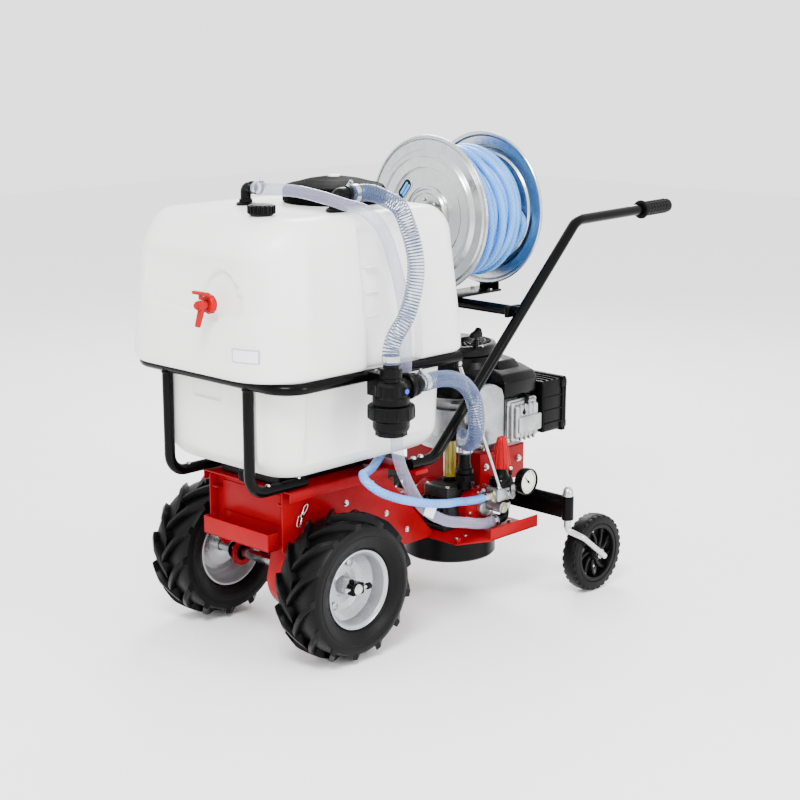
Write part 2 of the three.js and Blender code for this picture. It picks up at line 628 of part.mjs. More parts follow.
function addReel() {
  const front = REEL.x - REEL.halfWidth;
  const rear = REEL.x + REEL.halfWidth;
  const baseZ = CROSSBAR.z + 13 + GAP;
  const ends = [[front - 20, front - 15], [rear + 15, rear + 20]];
  const uprights = ends.map(([a, b]) => block(a, b, -32, 32, baseZ, REEL.z + 28));
  const frame = join(block(front - 20, rear + 20, -40, 40, baseZ, baseZ + 6), ...uprights);
  const spindle = rod(12, front - 34, rear + 28, 'x', [0, 0, REEL.z], 16);
  add('reel_frame', join(frame, spindle), BLACK_PAINT);
  const flange = (x, out) => [
    [REEL.r, x - out * 8], [REEL.r - 12, x - out * 2], [REEL.r - 34, x - out * 2],
    [REEL.r - 42, x + out * 6],
    [96, x + out * 6], [88, x - out * 2], [30, x - out * 2],
  ];
  const sheet = 2.5;
  const a = flange(front, -1);
  const b = flange(rear, 1);
  const profile = [
    ...a.map(([r, h]) => [r, h - sheet]).reverse(),
    [REEL.r, a[0][1]],
    ...a.slice(1, 6),
    [REEL.coreR, a[5][1]],
    [REEL.coreR, b[5][1]],
    ...b.slice(1, 6).reverse(),
    [REEL.r, b[0][1]],
    ...b.map(([r, h]) => [r, h + sheet]),
  ];
  const outer = [...profile, [12.5, b[6][1] + sheet], [12.5, a[6][1] - sheet], profile[0]];
  add('reel_drum', turned(outer, 'x', [0, 0, REEL.z], 24), GALVANISED);
  const coilA = a[4][1] + 1;
  const coilB = b[4][1] - 1;
  const coil = turned([
    [REEL.coreR + GAP, coilA + 8], [REEL.hoseR - 20, coilA + 8], [REEL.hoseR, coilA + 14],
    [REEL.hoseR, coilA + 60],
    [REEL.hoseR - 10, coilB - 30], [REEL.hoseR - 26, coilB - 10], [REEL.coreR + GAP, coilB - 8],
    [REEL.coreR + GAP, coilA + 8],
  ], 'x', [0, 0, REEL.z], 24);
  add('hose_winding', coil, BLUE_HOSE);
  add('reel_swivel', join(
    pipe(12.4, 20, front - 50, front - 22, 'x', [0, 0, REEL.z], 16),
    rod(10, REEL.z - 40, REEL.z - 16, 'z', [front - 36, 0, 0], 12),
  ), ZINC);
}

// ---------- hoses ----------
function addHoses() {
  add('suction_hose_upper', hose([
    [84 + HOSE_GAP, -158, 1036], [100, -158, 1036], [116, -161, 1036], [130, -180, 1036],
    [136, -218, 1026], [135, -261, 1010], [132, -292, 965], [130, -310, 922], [125, -320, 880],
    [112, -324, 830],
    [88, -324, 778], [60, -322, 745], [FILTER.x, FILTER.y, 716], [FILTER.x, FILTER.y, 684 + HOSE_GAP],
  ], SUCTION_D, 30), SPIRAL_HOSE);
  add('suction_hose_lower', hose([
    [FILTER.x + 88 + HOSE_GAP, FILTER.y, 628], [165, FILTER.y, 628], [210, -317, 626], [262, -308, 615],
    [310, -298, 593], [345, -292, 560], [360, -290, 525], [367, -287, 490], [374, -276, 458],
    [386, -254, 436], [404, -225, 425], [432, -192, 422], [463, -162, 420], [486, -143, 408],
    [PUMP.x - 7, -140, 392], [PUMP.x - 7, -140, 368 + HOSE_GAP],
  ], SUCTION_D, 20), SPIRAL_HOSE);
  add('return_hose', hose([
    [-6, 54 - HOSE_GAP, 1041], [-6, 20, 1041], [-4, -30, 1042], [0, -80, 1042], [6, -125, 1037],
    [14, -165, 1030], [25, -207, 1020], [40, -246, 1010], [55, -276, 982], [70, -288, 946],
    [88, -287, 905], [106, -286, 860], [121, -286, 800], [128, -286, 730], [129, -286, 660],
    [122, -286, 595], [108, -286, 545], [102, -284, 500], [114, -279, 452], [152, -272, 385],
    [215, -262, 312], [300, -252, 262], [385, -242, 236], [440, -228, 218], [485, -217, 207],
    [524 - HOSE_GAP, -215, 206],
  ], RETURN_D, 45), CLEAR_HOSE);
  add('delivery_hose', hose([
    [488 - HOSE_GAP, -215, 272], [455, -216, 273], [400, -232, 284], [330, -262, 303], [260, -290, 320],
    [195, -300, 336], [140, -302, 352], [70, -303, 378], [25, -298, 402], [12, -279, 420],
    [30, -250, 426], [72, -218, 417], [125, -182, 410], [185, -142, 409], [250, -95, 409],
    [320, -48, 413], [375, -18, 432], [405, -4, 475], [422, 0, 550], [434, 0, 650], [446, 0, 760],
    [458, 0, 850], [REEL.x - REEL.halfWidth - 36, 0, REEL.z - 40 - HOSE_GAP],
  ], DELIVERY_D, 42), BLUE_HOSE);
}

addChassis();
addDrive();
for (const [side, s] of SIDES) addWheel(side, s);
addCasters();
addTank();
addTankFrame();
addTap();
addFilter();
addPump();
addRegulator();
addBeltDrive();
addEngine();
addHandlebar();
addReel();
addHoses();

export default cart;
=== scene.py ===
# The looks of a wheeled sprayer cart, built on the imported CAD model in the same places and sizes.
import math

import bmesh
import bpy
from mathutils import Matrix, Vector


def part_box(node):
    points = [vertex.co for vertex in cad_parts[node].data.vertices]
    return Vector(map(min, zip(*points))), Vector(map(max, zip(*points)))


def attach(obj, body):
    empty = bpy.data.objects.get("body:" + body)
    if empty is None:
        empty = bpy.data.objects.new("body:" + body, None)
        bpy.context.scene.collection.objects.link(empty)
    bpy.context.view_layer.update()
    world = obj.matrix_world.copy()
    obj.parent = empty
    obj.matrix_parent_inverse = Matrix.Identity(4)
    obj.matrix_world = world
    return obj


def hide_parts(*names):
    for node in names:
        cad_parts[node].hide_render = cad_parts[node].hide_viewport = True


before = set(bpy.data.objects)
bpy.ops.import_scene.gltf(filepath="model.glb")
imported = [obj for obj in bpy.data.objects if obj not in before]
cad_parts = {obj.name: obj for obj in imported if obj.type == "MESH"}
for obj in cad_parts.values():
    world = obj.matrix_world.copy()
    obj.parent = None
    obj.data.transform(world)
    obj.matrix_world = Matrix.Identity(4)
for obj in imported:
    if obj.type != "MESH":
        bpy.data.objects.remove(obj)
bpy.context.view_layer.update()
MM = 0.001


def middle(node):
    low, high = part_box(node)
    return (low + high) / 2


AXLE_X = middle("axle_shaft").x


def at(x, y, z):
    """A point in millimetres, x from the drive axle, y from the cart's middle plane, z from the ground."""
    return Vector((AXLE_X + x * MM, y * MM, z * MM))


def from_node(node):
    """The middle of a CAD node in the same millimetres as at()."""
    m = middle(node)
    return Vector(((m.x - AXLE_X) / MM, m.y / MM, m.z / MM))


# ---------- camera, lights and floor ----------
CAMERA_AT = at(-2470.8, -2779.2, 1413.1)
CAMERA_AIM = at(406.9, 0, 494.2)
CAMERA_LENS = 75.03


def add_camera():
    data = bpy.data.cameras.new("camera")
    data.lens = CAMERA_LENS
    data.sensor_width = 36
    camera = bpy.data.objects.new("camera", data)
    camera.location = CAMERA_AT
    camera.rotation_euler = (CAMERA_AIM - CAMERA_AT).to_track_quat("-Z", "Y").to_euler()
    bpy.context.scene.collection.objects.link(camera)
    bpy.context.scene.camera = camera


def add_light(name, place, aim, size, power):
    data = bpy.data.lights.new(name, "AREA")
    data.shape = "RECTANGLE"
    data.size, data.size_y = size
    data.energy = power
    light = bpy.data.objects.new(name, data)
    light.location = place
    light.rotation_euler = (aim - place).to_track_quat("-Z", "Y").to_euler()
    bpy.context.scene.collection.objects.link(light)


def add_studio():
    world = bpy.data.worlds.new("studio")
    bpy.context.scene.world = world
    world.use_nodes = True
    world.node_tree.nodes["Background"].inputs["Color"].default_value = (1.0, 1.0, 1.0, 1)
    world.node_tree.nodes["Background"].inputs["Strength"].default_value = 2.3
    aim = at(300, 0, 500)
    add_light("key", at(-1900, -1500, 3300), aim, (1.3, 0.9), 190)
    add_light("side", at(900, -3600, 1500), aim, (0.5, 1.8), 70)
    add_light("back", at(2600, 1900, 2600), aim, (1.2, 1.2), 110)
    mesh = bpy.data.meshes.new("floor")
    corners = [(-9, -9, 0), (9, -9, 0), (9, 9, 0), (-9, 9, 0)]
    mesh.from_pydata(corners, [], [(0, 1, 2, 3)])
    floor = bpy.data.objects.new("floor", mesh)
    floor.location.z = -0.0005
    bpy.context.scene.collection.objects.link(floor)
    floor.data.materials.append(FLOOR)


# ---------- materials ----------
class Finish:
    """A procedural material: helpers that add nodes round one Principled shader."""

    def __init__(self, name, **sockets):
        self.material = bpy.data.materials.new(name)
        self.material.use_nodes = True
        self.nodes = self.material.node_tree.nodes
        self.links = self.material.node_tree.links
        self.shader = self.nodes["Principled BSDF"]
        for socket, value in sockets.items():
            self.shader.inputs[socket.replace("_", " ")].default_value = value

    def node(self, kind, inputs=None, **settings):
        node = self.nodes.new(kind)
        for key, value in settings.items():
            setattr(node, key, value)
        for key, value in (inputs or {}).items():
            if isinstance(value, bpy.types.NodeSocket):
                self.links.new(value, node.inputs[key])
            else:
                node.inputs[key].default_value = value
        return node

    def place(self, stretch=(1, 1, 1), shift=(0, 0, 0)):
        coords = self.node("ShaderNodeTexCoord").outputs["Object"]
        inputs = {"Vector": coords, "Scale": stretch, "Location": shift}
        return self.node("ShaderNodeMapping", inputs).outputs[0]

    def noise(self, scale, detail=3.0, stretch=(1, 1, 1)):
        inputs = {"Vector": self.place(stretch), "Scale": scale, "Detail": detail}
        return self.node("ShaderNodeTexNoise", inputs).outputs[0]

    def remap(self, value, low, high, start=0.3, stop=0.7):
        inputs = {"Value": value, "From Min": start, "From Max": stop, "To Min": low, "To Max": high}
        return self.node("ShaderNodeMapRange", inputs).outputs[0]

    def mix(self, factor, a, b):
        inputs = {0: factor, 6: a, 7: b}
        return self.node("ShaderNodeMix", inputs, data_type="RGBA").outputs[2]

    def math(self, operation, a, b=0.0):
        return self.node("ShaderNodeMath", {0: a, 1: b}, operation=operation).outputs[0]

    def bump(self, height, distance, strength=1.0):
        inputs = {"Height": height, "Distance": distance, "Strength": strength}
        self.link(self.node("ShaderNodeBump", inputs).outputs[0], "Normal")

    def link(self, output, socket):
        self.links.new(output, self.shader.inputs[socket])


def rgba(color, factor=1.0):
    return (*[min(1.0, c * factor) for c in color], 1.0)


def surface(name, color, rough, shade=0.8, patch=9, grain=700, depth=0.00006, stretch=(1, 1, 1), **sockets):
    """A finish with soft colour patches, uneven gloss and a fine grain. patch and grain are per metre."""
    f = Finish(name, **sockets)
    soft = f.noise(patch, 4.0)
    fine = f.noise(grain, 2.0, stretch)
    f.link(f.mix(f.remap(soft, 0, 1), rgba(color, shade), rgba(color)), "Base Color")
    both = f.math("ADD", f.math("MULTIPLY", soft, 0.6), f.math("MULTIPLY", fine, 0.4))
    f.link(f.remap(both, rough * 0.78, rough * 1.25, 0.35, 0.65), "Roughness")
    f.bump(fine, depth)
    return f.material


def tank_plastic():
    f = Finish(
        "tank_plastic", Subsurface_Weight=0.08, Subsurface_Scale=0.006, Coat_Weight=0.1, Coat_Roughness=0.25
    )
    f.shader.inputs["Subsurface Radius"].default_value = (1.0, 1.0, 0.9)
    cloudy = f.noise(7, 4.0, (1, 1, 0.35))
    peel = f.noise(160, 3.0)
    f.link(f.mix(f.remap(cloudy, 0, 1), rgba((0.78, 0.79, 0.76)), rgba((0.83, 0.835, 0.82))), "Base Color")
    f.link(f.remap(peel, 0.3, 0.46), "Roughness")
    f.bump(peel, 0.00025)
    return f.material


def see_through(name, color, alpha, rough=0.16, streak=30):
    """A soft translucent hose wall: denser at its edges and slightly streaked along its length."""
    f = Finish(name, Roughness=rough, IOR=1.42, Coat_Weight=0.4, Coat_Roughness=0.08)
    uv = f.node("ShaderNodeUVMap").outputs[0]
    around = f.node("ShaderNodeMapping", {"Vector": uv, "Scale": (1.5, streak / 4, 1)}).outputs[0]
    streaks = f.node("ShaderNodeTexNoise", {"Vector": around, "Scale": 5.0, "Detail": 3.0}).outputs[0]
    f.link(f.mix(f.remap(streaks, 0, 1), rgba(color, 0.7), rgba(color)), "Base Color")
    edge = f.node("ShaderNodeLayerWeight", {"Blend": 0.35}).outputs["Facing"]
    f.link(f.remap(edge, alpha, min(1.0, alpha + 0.5), 0.3, 0.95), "Alpha")
    f.bump(streaks, 0.0002)
    return f.material


def braided_hose():
    """Light blue hose with two crossing sets of braid threads showing through its skin."""
    f = Finish("blue_hose", Coat_Weight=0.2, Coat_Roughness=0.12, Specular_IOR_Level=0.35)
    uv = f.node("ShaderNodeSeparateXYZ", {0: f.node("ShaderNodeUVMap").outputs[0]})
    along = f.math("MULTIPLY", uv.outputs[0], 2 * math.pi / 0.012)
    around = f.math("MULTIPLY", uv.outputs[1], 2 * math.pi * 6)
    threads = [
        f.remap(f.math("SINE", f.math(way, along, around)), 0, 1, 0.55, 0.95) for way in ("ADD", "SUBTRACT")
    ]
    weave = f.math("MAXIMUM", *threads)
    patches = f.remap(f.noise(14, 3.0), 0, 1)
    plain = f.mix(patches, rgba((0.03, 0.2, 0.6)), rgba((0.07, 0.28, 0.72)))
    thread = f.node("ShaderNodeRGB")
    thread.outputs[0].default_value = rgba((0.16, 0.42, 0.85))
    f.link(f.mix(f.math("MULTIPLY", weave, 0.55), plain, thread.outputs[0]), "Base Color")
    f.link(f.remap(patches, 0.24, 0.36, 0, 1), "Roughness")
    f.bump(weave, 0.00012)
    return f.material


def spun_steel():
    """Galvanised sheet spun on a lathe: fine rings round the reel's axis over large zinc flakes."""
    f = Finish("galvanised", Metallic=1.0)
    reel = middle("reel_drum")
    rings_at = f.place(shift=(-reel.x, -reel.y, -reel.z))
    rings = f.node(
        "ShaderNodeTexWave",
        {"Vector": rings_at, "Scale": 110.0, "Distortion": 1.2, "Detail": 2.0},
        wave_type="RINGS",
        rings_direction="X",
    ).outputs[1]
    flakes = f.node("ShaderNodeTexVoronoi", {"Vector": f.place(), "Scale": 75.0}).outputs["Color"]
    flake = f.node("ShaderNodeSeparateColor", {0: flakes}).outputs[0]
    f.link(f.mix(flake, rgba((0.47, 0.49, 0.5)), rgba((0.53, 0.55, 0.56))), "Base Color")
    f.link(f.remap(flake, 0.2, 0.25, 0, 1), "Roughness")
    f.bump(rings, 0.00007)
    return f.material


def oil_glass():
    f = Finish(
        "amber", Coat_Weight=0.5, Coat_Roughness=0.05, Transmission_Weight=0.35, Roughness=0.12, IOR=1.45
    )
    swirl = f.noise(60, 4.0, (1, 1, 0.2))
    f.link(f.mix(f.remap(swirl, 0, 1), rgba((0.3, 0.26, 0.02)), rgba((0.75, 0.5, 0.04))), "Base Color")
    f.bump(swirl, 0.0002)
    return f.material


FLOOR = surface("floor_paper", (0.93, 0.93, 0.93), 0.9, shade=0.99, grain=200, Specular_IOR_Level=0.1)
RED = surface(
    "red_paint", (0.27, 0.0001, 0.004), 0.3, 0.82, grain=420, depth=0.00008, Specular_IOR_Level=0.07
)
BLACK = surface("black_paint", (0.0012, 0.0012, 0.0014), 0.18, 0.7, grain=500, Specular_IOR_Level=0.08)
PLASTIC = surface(
    "black_plastic", (0.0014, 0.0014, 0.0016), 0.34, 0.65, grain=1400, depth=0.0001, Specular_IOR_Level=0.09
)
LID = surface(
    "lid_plastic", (0.002, 0.002, 0.002), 0.6, 0.8, grain=1400, depth=0.0001, Specular_IOR_Level=0.01
)
GLOSSY = surface(
    "gloss_black_plastic", (0.0014, 0.0014, 0.0016), 0.24, 0.7, grain=1000, Specular_IOR_Level=0.1
)
TYRE = surface(
    "tyre_rubber", (0.0012, 0.0012, 0.0014), 0.36, 0.6, patch=22, grain=900, depth=0.00025,
    Specular_IOR_Level=0.11,
)
RUBBER = surface(
    "rubber", (0.0014, 0.0014, 0.0016), 0.45, 0.7, grain=1200, depth=0.0002, Specular_IOR_Level=0.1
)
RIM = surface("rim_grey", (0.42, 0.43, 0.45), 0.3, 0.85, grain=500, Metallic=0.75, Coat_Weight=0.3)
ZINC = surface("zinc_plate", (0.62, 0.63, 0.63), 0.2, 0.7, patch=40, grain=600, Metallic=1.0)
ALLOY = surface(
    "cast_alloy", (0.44, 0.45, 0.46), 0.34, 0.65, patch=25, grain=480, depth=0.0003, Metallic=0.9
)
IRON = surface(
    "dark_cast", (0.015, 0.015, 0.018), 0.4, 0.6, patch=30, grain=420, depth=0.0005, Metallic=0.5
)
RED_PLASTIC = surface(
    "red_plastic", (0.34, 0.0002, 0.004), 0.22, 0.85, grain=900, Specular_IOR_Level=0.12
)
# White for the labels, and as a painted highlight on the handle tubes.
LABEL_AND_HIGHLIGHT = surface("blank_label_and_painted_highlight", (0.84, 0.84, 0.9), 0.3, 0.97, grain=700, Coat_Weight=0.4)
LABEL_EDGE = surface("label_edge", (0.42, 0.42, 0.46), 0.4, 0.9, grain=700)
DIAL = surface("dial_white", (0.84, 0.84, 0.8), 0.4, 0.97, grain=700)
BRASS = surface("nickel_brass", (0.56, 0.52, 0.4), 0.22, 0.75, patch=60, grain=500, Metallic=1.0)
BLUE_DOT = surface("blue_plastic", (0.01, 0.05, 0.5), 0.25, 0.8, grain=900)
# Black for the dial's marks and needle, and as painted shade in the reel flange's slot.
BLACK_MARK_AND_SHADE = surface("dial_marks_and_hole_shade", (0.004, 0.004, 0.004), 0.6, 0.8, grain=900, Specular_IOR_Level=0.1)
TANK_WHITE = tank_plastic()
BLUE_HOSE = braided_hose()
CLEAR_HOSE = see_through("clear_hose", (0.42, 0.42, 0.6), 0.3)
SPIRAL_HOSE = see_through("spiral_hose", (0.3, 0.38, 0.58), 0.14)
WIRE = surface("hose_spiral", (0.03, 0.06, 0.16), 0.3, 0.8, grain=600)
GALVANISED = spun_steel()
AMBER = oil_glass()


# ---------- shape tools ----------
AXES = {"x": Vector((1, 0, 0)), "y": Vector((0, 1, 0)), "z": Vector((0, 0, 1))}
CURVE_STEPS = 16
SHARP_ANGLE = math.radians(38)


def fillet(points, radius, steps=5, closed=False):
    """The same path with each corner rounded, as far as its two sides leave room."""
    p = [Vector(q).to_3d() for q in points]
    n = len(p)
    out = []
    for i in range(n):
        if not closed and i in (0, n - 1):
            out.append(p[i])
            continue
        back, on = p[i - 1] - p[i], p[(i + 1) % n] - p[i]
        half = back.angle(on) / 2
        if half < 0.02 or half > math.pi / 2 - 0.02:
            out.append(p[i])
            continue
        run = min(radius / math.tan(half), back.length * 0.49, on.length * 0.49)
        r = run * math.tan(half)
        to_centre = (back.normalized() + on.normalized()).normalized()
        centre = p[i] + to_centre * (r / math.sin(half))
        first, last = p[i] + back.normalized() * run - centre, p[i] + on.normalized() * run - centre
        turn = first.angle(last)
        axis = first.cross(last).normalized()
        for k in range(steps + 1):
            out.append(centre + Matrix.Rotation(turn * k / steps, 3, axis) @ first)
    return out


def smooth_path(points, spacing):
    """A Catmull-Rom curve through the points, cut into even steps of about that spacing."""
    p = [Vector(q) for q in points]
    p = [2 * p[0] - p[1], *p, 2 * p[-1] - p[-2]]
    dense = []
    for i in range(1, len(p) - 2):
        a, b, c, d = p[i - 1 : i + 3]
        k = [0.0]
        for u, v in ((a, b), (b, c), (c, d)):
            k.append(k[-1] + max((v - u).length, 1e-6) ** 0.5)
        for j in range(CURVE_STEPS):
            t = k[1] + (k[2] - k[1]) * j / CURVE_STEPS
            a1 = a.lerp(b, (t - k[0]) / (k[1] - k[0]))
            a2 = b.lerp(c, (t - k[1]) / (k[2] - k[1]))
            a3 = c.lerp(d, (t - k[2]) / (k[3] - k[2]))
            b1 = a1.lerp(a2, (t - k[0]) / (k[2] - k[0]))
            b2 = a2.lerp(a3, (t - k[1]) / (k[3] - k[1]))
            dense.append(b1.lerp(b2, (t - k[1]) / (k[2] - k[1])))
    dense.append(p[-2])
    return resample(dense, spacing)


def resample(points, spacing):
    lengths = [0.0]
    for a, b in zip(points, points[1:]):
        lengths.append(lengths[-1] + (b - a).length)
    count = max(2, round(lengths[-1] / spacing))
    out, i = [], 0
    for k in range(count + 1):
        want = lengths[-1] * k / count
        while i < len(lengths) - 2 and lengths[i + 1] < want:
            i += 1
        t = (want - lengths[i]) / max(lengths[i + 1] - lengths[i], 1e-9)
        out.append(points[i].lerp(points[i + 1], min(1.0, t)))
    return out


def stations(points):
    """For each point its place, two directions across the path, and the distance so far."""
    out, side, run = [], None, 0.0
    for i, p in enumerate(points):
        before, after = points[max(i - 1, 0)], points[min(i + 1, len(points) - 1)]
        ahead = (after - before).normalized()
        if side is None:
            helper = AXES["z"] if abs(ahead.z) < 0.9 else AXES["x"]
            side = ahead.cross(helper).normalized()
        else:
            run += (p - before).length
            side = (side - ahead * side.dot(ahead)).normalized()
        out.append((p, side, ahead.cross(side), run))
    return out


class Piece:
    """One visible object put together from simple sections. Sizes and places are in millimetres."""

    def __init__(self):
        self.bm = bmesh.new()
        self.uv = self.bm.loops.layers.uv.new("UVMap")
        self.materials = []

    def take(self, material):
        if material not in self.materials:
            self.materials.append(material)
        return self.materials.index(material)

    def faces(self, places, faces, material, uvs=None):
        verts = [self.bm.verts.new(p) for p in places]
        for f in faces:
            face = self.bm.faces.new([verts[i] for i in f])
            face.material_index = self.take(material)
            face.smooth = True
            if uvs:
                for loop, i in zip(face.loops, f):
                    loop[self.uv].uv = uvs[i]

    def lathe(self, profile, axis, centre, material, steps=64, round=0.0):
        """Turns (radius, height) points round the axis through the centre. Heights run along the axis."""
        direction = AXES[axis] if isinstance(axis, str) else Vector(axis).normalized()
        across = direction.orthogonal().normalized()
        other = direction.cross(across)
        closed = profile[0] == profile[-1]
        outline = [Vector((r, h, 0)) for r, h in (profile[:-1] if closed else profile)]
        if round:
            outline = fillet(outline, round, 3, closed)
        places, rings = [], []
        for point in outline:
            r, h = point.x, point.y
            rings.append((len(places), 1 if r < 1e-6 else steps))
            for k in range(rings[-1][1]):
                a = 2 * math.pi * k / steps
                spoke = across * (r * math.cos(a)) + other * (r * math.sin(a))
                places.append(at(*(Vector(centre) + direction * h + spoke)))
        pairs = list(zip(rings, rings[1:] + ([rings[0]] if closed else [])))
        faces = []
        for (a, na), (b, nb) in pairs:
            for k in range(steps):
                m = (k + 1) % steps
                if na == 1 and nb == 1:
                    continue
                if na == 1:
                    faces.append((a, b + k, b + m))
                elif nb == 1:
                    faces.append((a + k, b, a + m))
                else:
                    faces.append((a + k, b + k, b + m, a + m))
        self.faces(places, faces, material)
        return self

    def rod(self, start, end, r, material, edge=1.0, steps=32):
        a, b = Vector(start), Vector(end)
        length = (b - a).length
        profile = [(0, 0), (r - edge, 0), (r, edge), (r, length - edge), (r - edge, length), (0, length)]
        return self.lathe(profile, b - a, a, material, steps)

    def grow(self, shape, material):
        """Adds another bmesh, all in one material."""
        for face in shape.faces:
            face.material_index = self.take(material)
            face.smooth = True
        mesh = bpy.data.meshes.new("section")
        shape.to_mesh(mesh)
        shape.free()
        self.bm.from_mesh(mesh)
        bpy.data.meshes.remove(mesh)
        return self

    def box(self, x0, x1, y0, y1, z0, z1, material, round=2.0, segments=3, turn=None):
        shape = bmesh.new()
        low, high = at(x0, y0, z0), at(x1, y1, z1)
        bmesh.ops.create_cube(shape, size=1.0)
        bmesh.ops.scale(shape, vec=high - low, verts=shape.verts)
        offset = min(round * MM, min(high - low) * 0.49)
        bmesh.ops.bevel(
            shape, geom=shape.edges[:], offset=offset, segments=segments, profile=0.5, affect="EDGES"
        )
        if turn:
            bmesh.ops.rotate(shape, cent=(0, 0, 0), matrix=turn, verts=shape.verts)
        bmesh.ops.translate(shape, vec=(low + high) / 2, verts=shape.verts)
        return self.grow(shape, material)

    def plate(self, outline, axis, a, b, material, edge=0.8):
        """A flat outline pushed from a to b along the axis. Outline points skip that axis."""
        k = "xyz".index(axis)
        lift = lambda p, h: at(*(list(p[:k]) + [h] + list(p[k:])))
        shape = bmesh.new()
        bottom = shape.faces.new([shape.verts.new(lift(p, a)) for p in outline])
        top = bmesh.ops.extrude_face_region(shape, geom=[bottom])
        moved = [v for v in top["geom"] if isinstance(v, bmesh.types.BMVert)]
        bmesh.ops.translate(shape, vec=AXES[axis] * (b - a) * MM, verts=moved)
        if edge:
            sharp = [e for e in shape.edges if len(e.link_faces) == 2 and e.calc_face_angle(0) > 0.5]
            bmesh.ops.bevel(shape, geom=sharp, offset=edge * MM, segments=2, profile=0.5, affect="EDGES")
        return self.grow(shape, material)

    def tube(self, points, r, material, bend=0.0, sides=20):
        """Sweeps a circle along the points. r may be a function of the distance in millimetres."""
        path = fillet(points, bend, 8) if bend else [Vector(p) for p in points]
        radius = r if callable(r) else lambda s: r
        places, uvs = [], []
        spots = stations(path)
        for p, side, up, run in spots:
            for k in range(sides + 1):
                a = 2 * math.pi * k / sides
                places.append(at(*(p + (side * math.cos(a) + up * math.sin(a)) * radius(run))))
                uvs.append((run * MM, k / sides))
        n = sides + 1
        faces = [
            (i * n + k, i * n + k + 1, (i + 1) * n + k + 1, (i + 1) * n + k)
            for i in range(len(spots) - 1)
            for k in range(sides)
        ]
        ends = [tuple(range(sides))[::-1], tuple((len(spots) - 1) * n + k for k in range(sides))]
        self.faces(places, faces + ends, material, uvs)
        return self

    def bolt(self, place, axis, size):
        """A hexagon head on a washer, sticking out along the axis."""
        self.lathe(solid(size * 1.2, 0, size * 0.22), axis, place, ZINC, 24)
        top = size * 0.85
        profile = [(0, size * 0.2), (size, size * 0.2), (size, top - 0.5), (size * 0.85, top), (0, top)]
        return self.lathe(profile, axis, place, ZINC, 6)

    def done(self, name, body, slot, *nodes):
        bmesh.ops.remove_doubles(self.bm, verts=self.bm.verts, dist=1e-6)
        bmesh.ops.recalc_face_normals(self.bm, faces=self.bm.faces)
        mesh = bpy.data.meshes.new(name)
        self.bm.to_mesh(mesh)
        self.bm.free()
        mesh.set_sharp_from_angle(angle=SHARP_ANGLE)
        for material in self.materials:
            mesh.materials.append(material)
        obj = bpy.data.objects.new(name, mesh)
        bpy.context.scene.collection.objects.link(obj)
        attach(obj, body)
        if nodes:
            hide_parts(*nodes)
        return obj


SIDES = (("left", -1), ("right", 1))


def angles(count, start=0.0):
    """Angles spread evenly over one full turn."""
    return [2 * math.pi * k / count + start for k in range(count)]


def circle(count, r, start=0.0):
    """Pairs of offsets spread evenly round a circle."""
    return [(r * math.cos(a), r * math.sin(a)) for a in angles(count, start)]


def span(s, a, b):
    """The low and high y of a stretch that lies a to b out from the middle plane on side s."""
    return sorted((s * a, s * b))


def solid(r, low, high):
    """The profile of a plain disc or cylinder."""
    return [(0, low), (r, low), (r, high), (0, high)]


def hollow(inner, outer, low, high):
    """The profile of a plain ring or sleeve."""
    return [(inner, low), (outer, low), (outer, high), (inner, high), (inner, low)]


def rounded(outline, radius, steps):
    """A closed flat outline with rounded corners, as pairs."""
    return [(p.x, p.y) for p in fillet(outline, radius, steps, True)]


# ---------- hoses: the routes are the CAD model's ----------
SUCTION_D, RETURN_D, DELIVERY_D = 38, 27, 20
SUCTION_UPPER = [
    (85, -158, 1036), (100, -158, 1036), (116, -161, 1036), (130, -180, 1036), (136, -218, 1026),
    (135, -261, 1010), (132, -292, 965), (130, -310, 922), (125, -320, 880), (112, -324, 830),
    (88, -324, 778), (60, -322, 745), (47, -321, 716), (47, -321, 685),
]
SUCTION_LOWER = [
    (136, -321, 628), (165, -321, 628), (210, -317, 626), (262, -308, 615), (310, -298, 593),
    (345, -292, 560), (360, -290, 525), (367, -287, 490), (374, -276, 458), (386, -254, 436),
    (404, -225, 425), (432, -192, 422), (463, -162, 420), (486, -143, 408), (490, -140, 392),
    (490, -140, 369),
]
RETURN = [
    (-6, 53, 1041), (-6, 20, 1041), (-4, -30, 1042), (0, -80, 1042), (6, -125, 1037), (14, -165, 1030),
    (25, -207, 1020), (40, -246, 1010), (55, -276, 982), (70, -288, 946), (88, -287, 905),
    (106, -286, 860), (121, -286, 800), (128, -286, 730), (129, -286, 660), (122, -286, 595),
    (108, -286, 545), (102, -284, 500), (114, -279, 452), (152, -272, 385), (215, -262, 312),
    (300, -252, 262), (385, -242, 236), (440, -228, 218), (485, -217, 207), (523, -215, 206),
]
DELIVERY = [
    (487, -215, 272), (455, -216, 273), (400, -232, 284), (330, -262, 303), (260, -290, 320),
    (195, -300, 336), (140, -302, 352), (70, -303, 378), (25, -298, 402), (12, -279, 420),
    (30, -250, 426), (72, -218, 417), (125, -182, 410), (185, -142, 409), (250, -95, 409),
    (320, -48, 413), (375, -18, 432), (405, -4, 475), (422, 0, 550), (434, 0, 650), (446, 0, 760),
    (458, 0, 850), (462, 0, 903),
]
SPIRAL_PITCH, SPIRAL_STEPS, WIRE_R = 7.0, 12, 1.3
ROUTE_STEP, CLAMP_GAP = 6.0, 0.3


def add_hose(name, route, diameter, material, slot, node):
    path = smooth_path(route, ROUTE_STEP)
    piece = Piece().tube(path, diameter / 2, material, sides=24).done(name, "chassis", slot, node)
    return path


def add_spiral(name, path, radius):
    """The hard spiral inside a suction hose's wall."""
    fine = stations(resample(path, SPIRAL_PITCH / SPIRAL_STEPS))
    turns = []
    for p, side, up, run in fine:
        a = 2 * math.pi * run / SPIRAL_PITCH
        turns.append(p + (side * math.cos(a) + up * math.sin(a)) * radius)
    Piece().tube(turns, WIRE_R, WIRE, sides=5).done(name, "chassis", "spiral_hose")


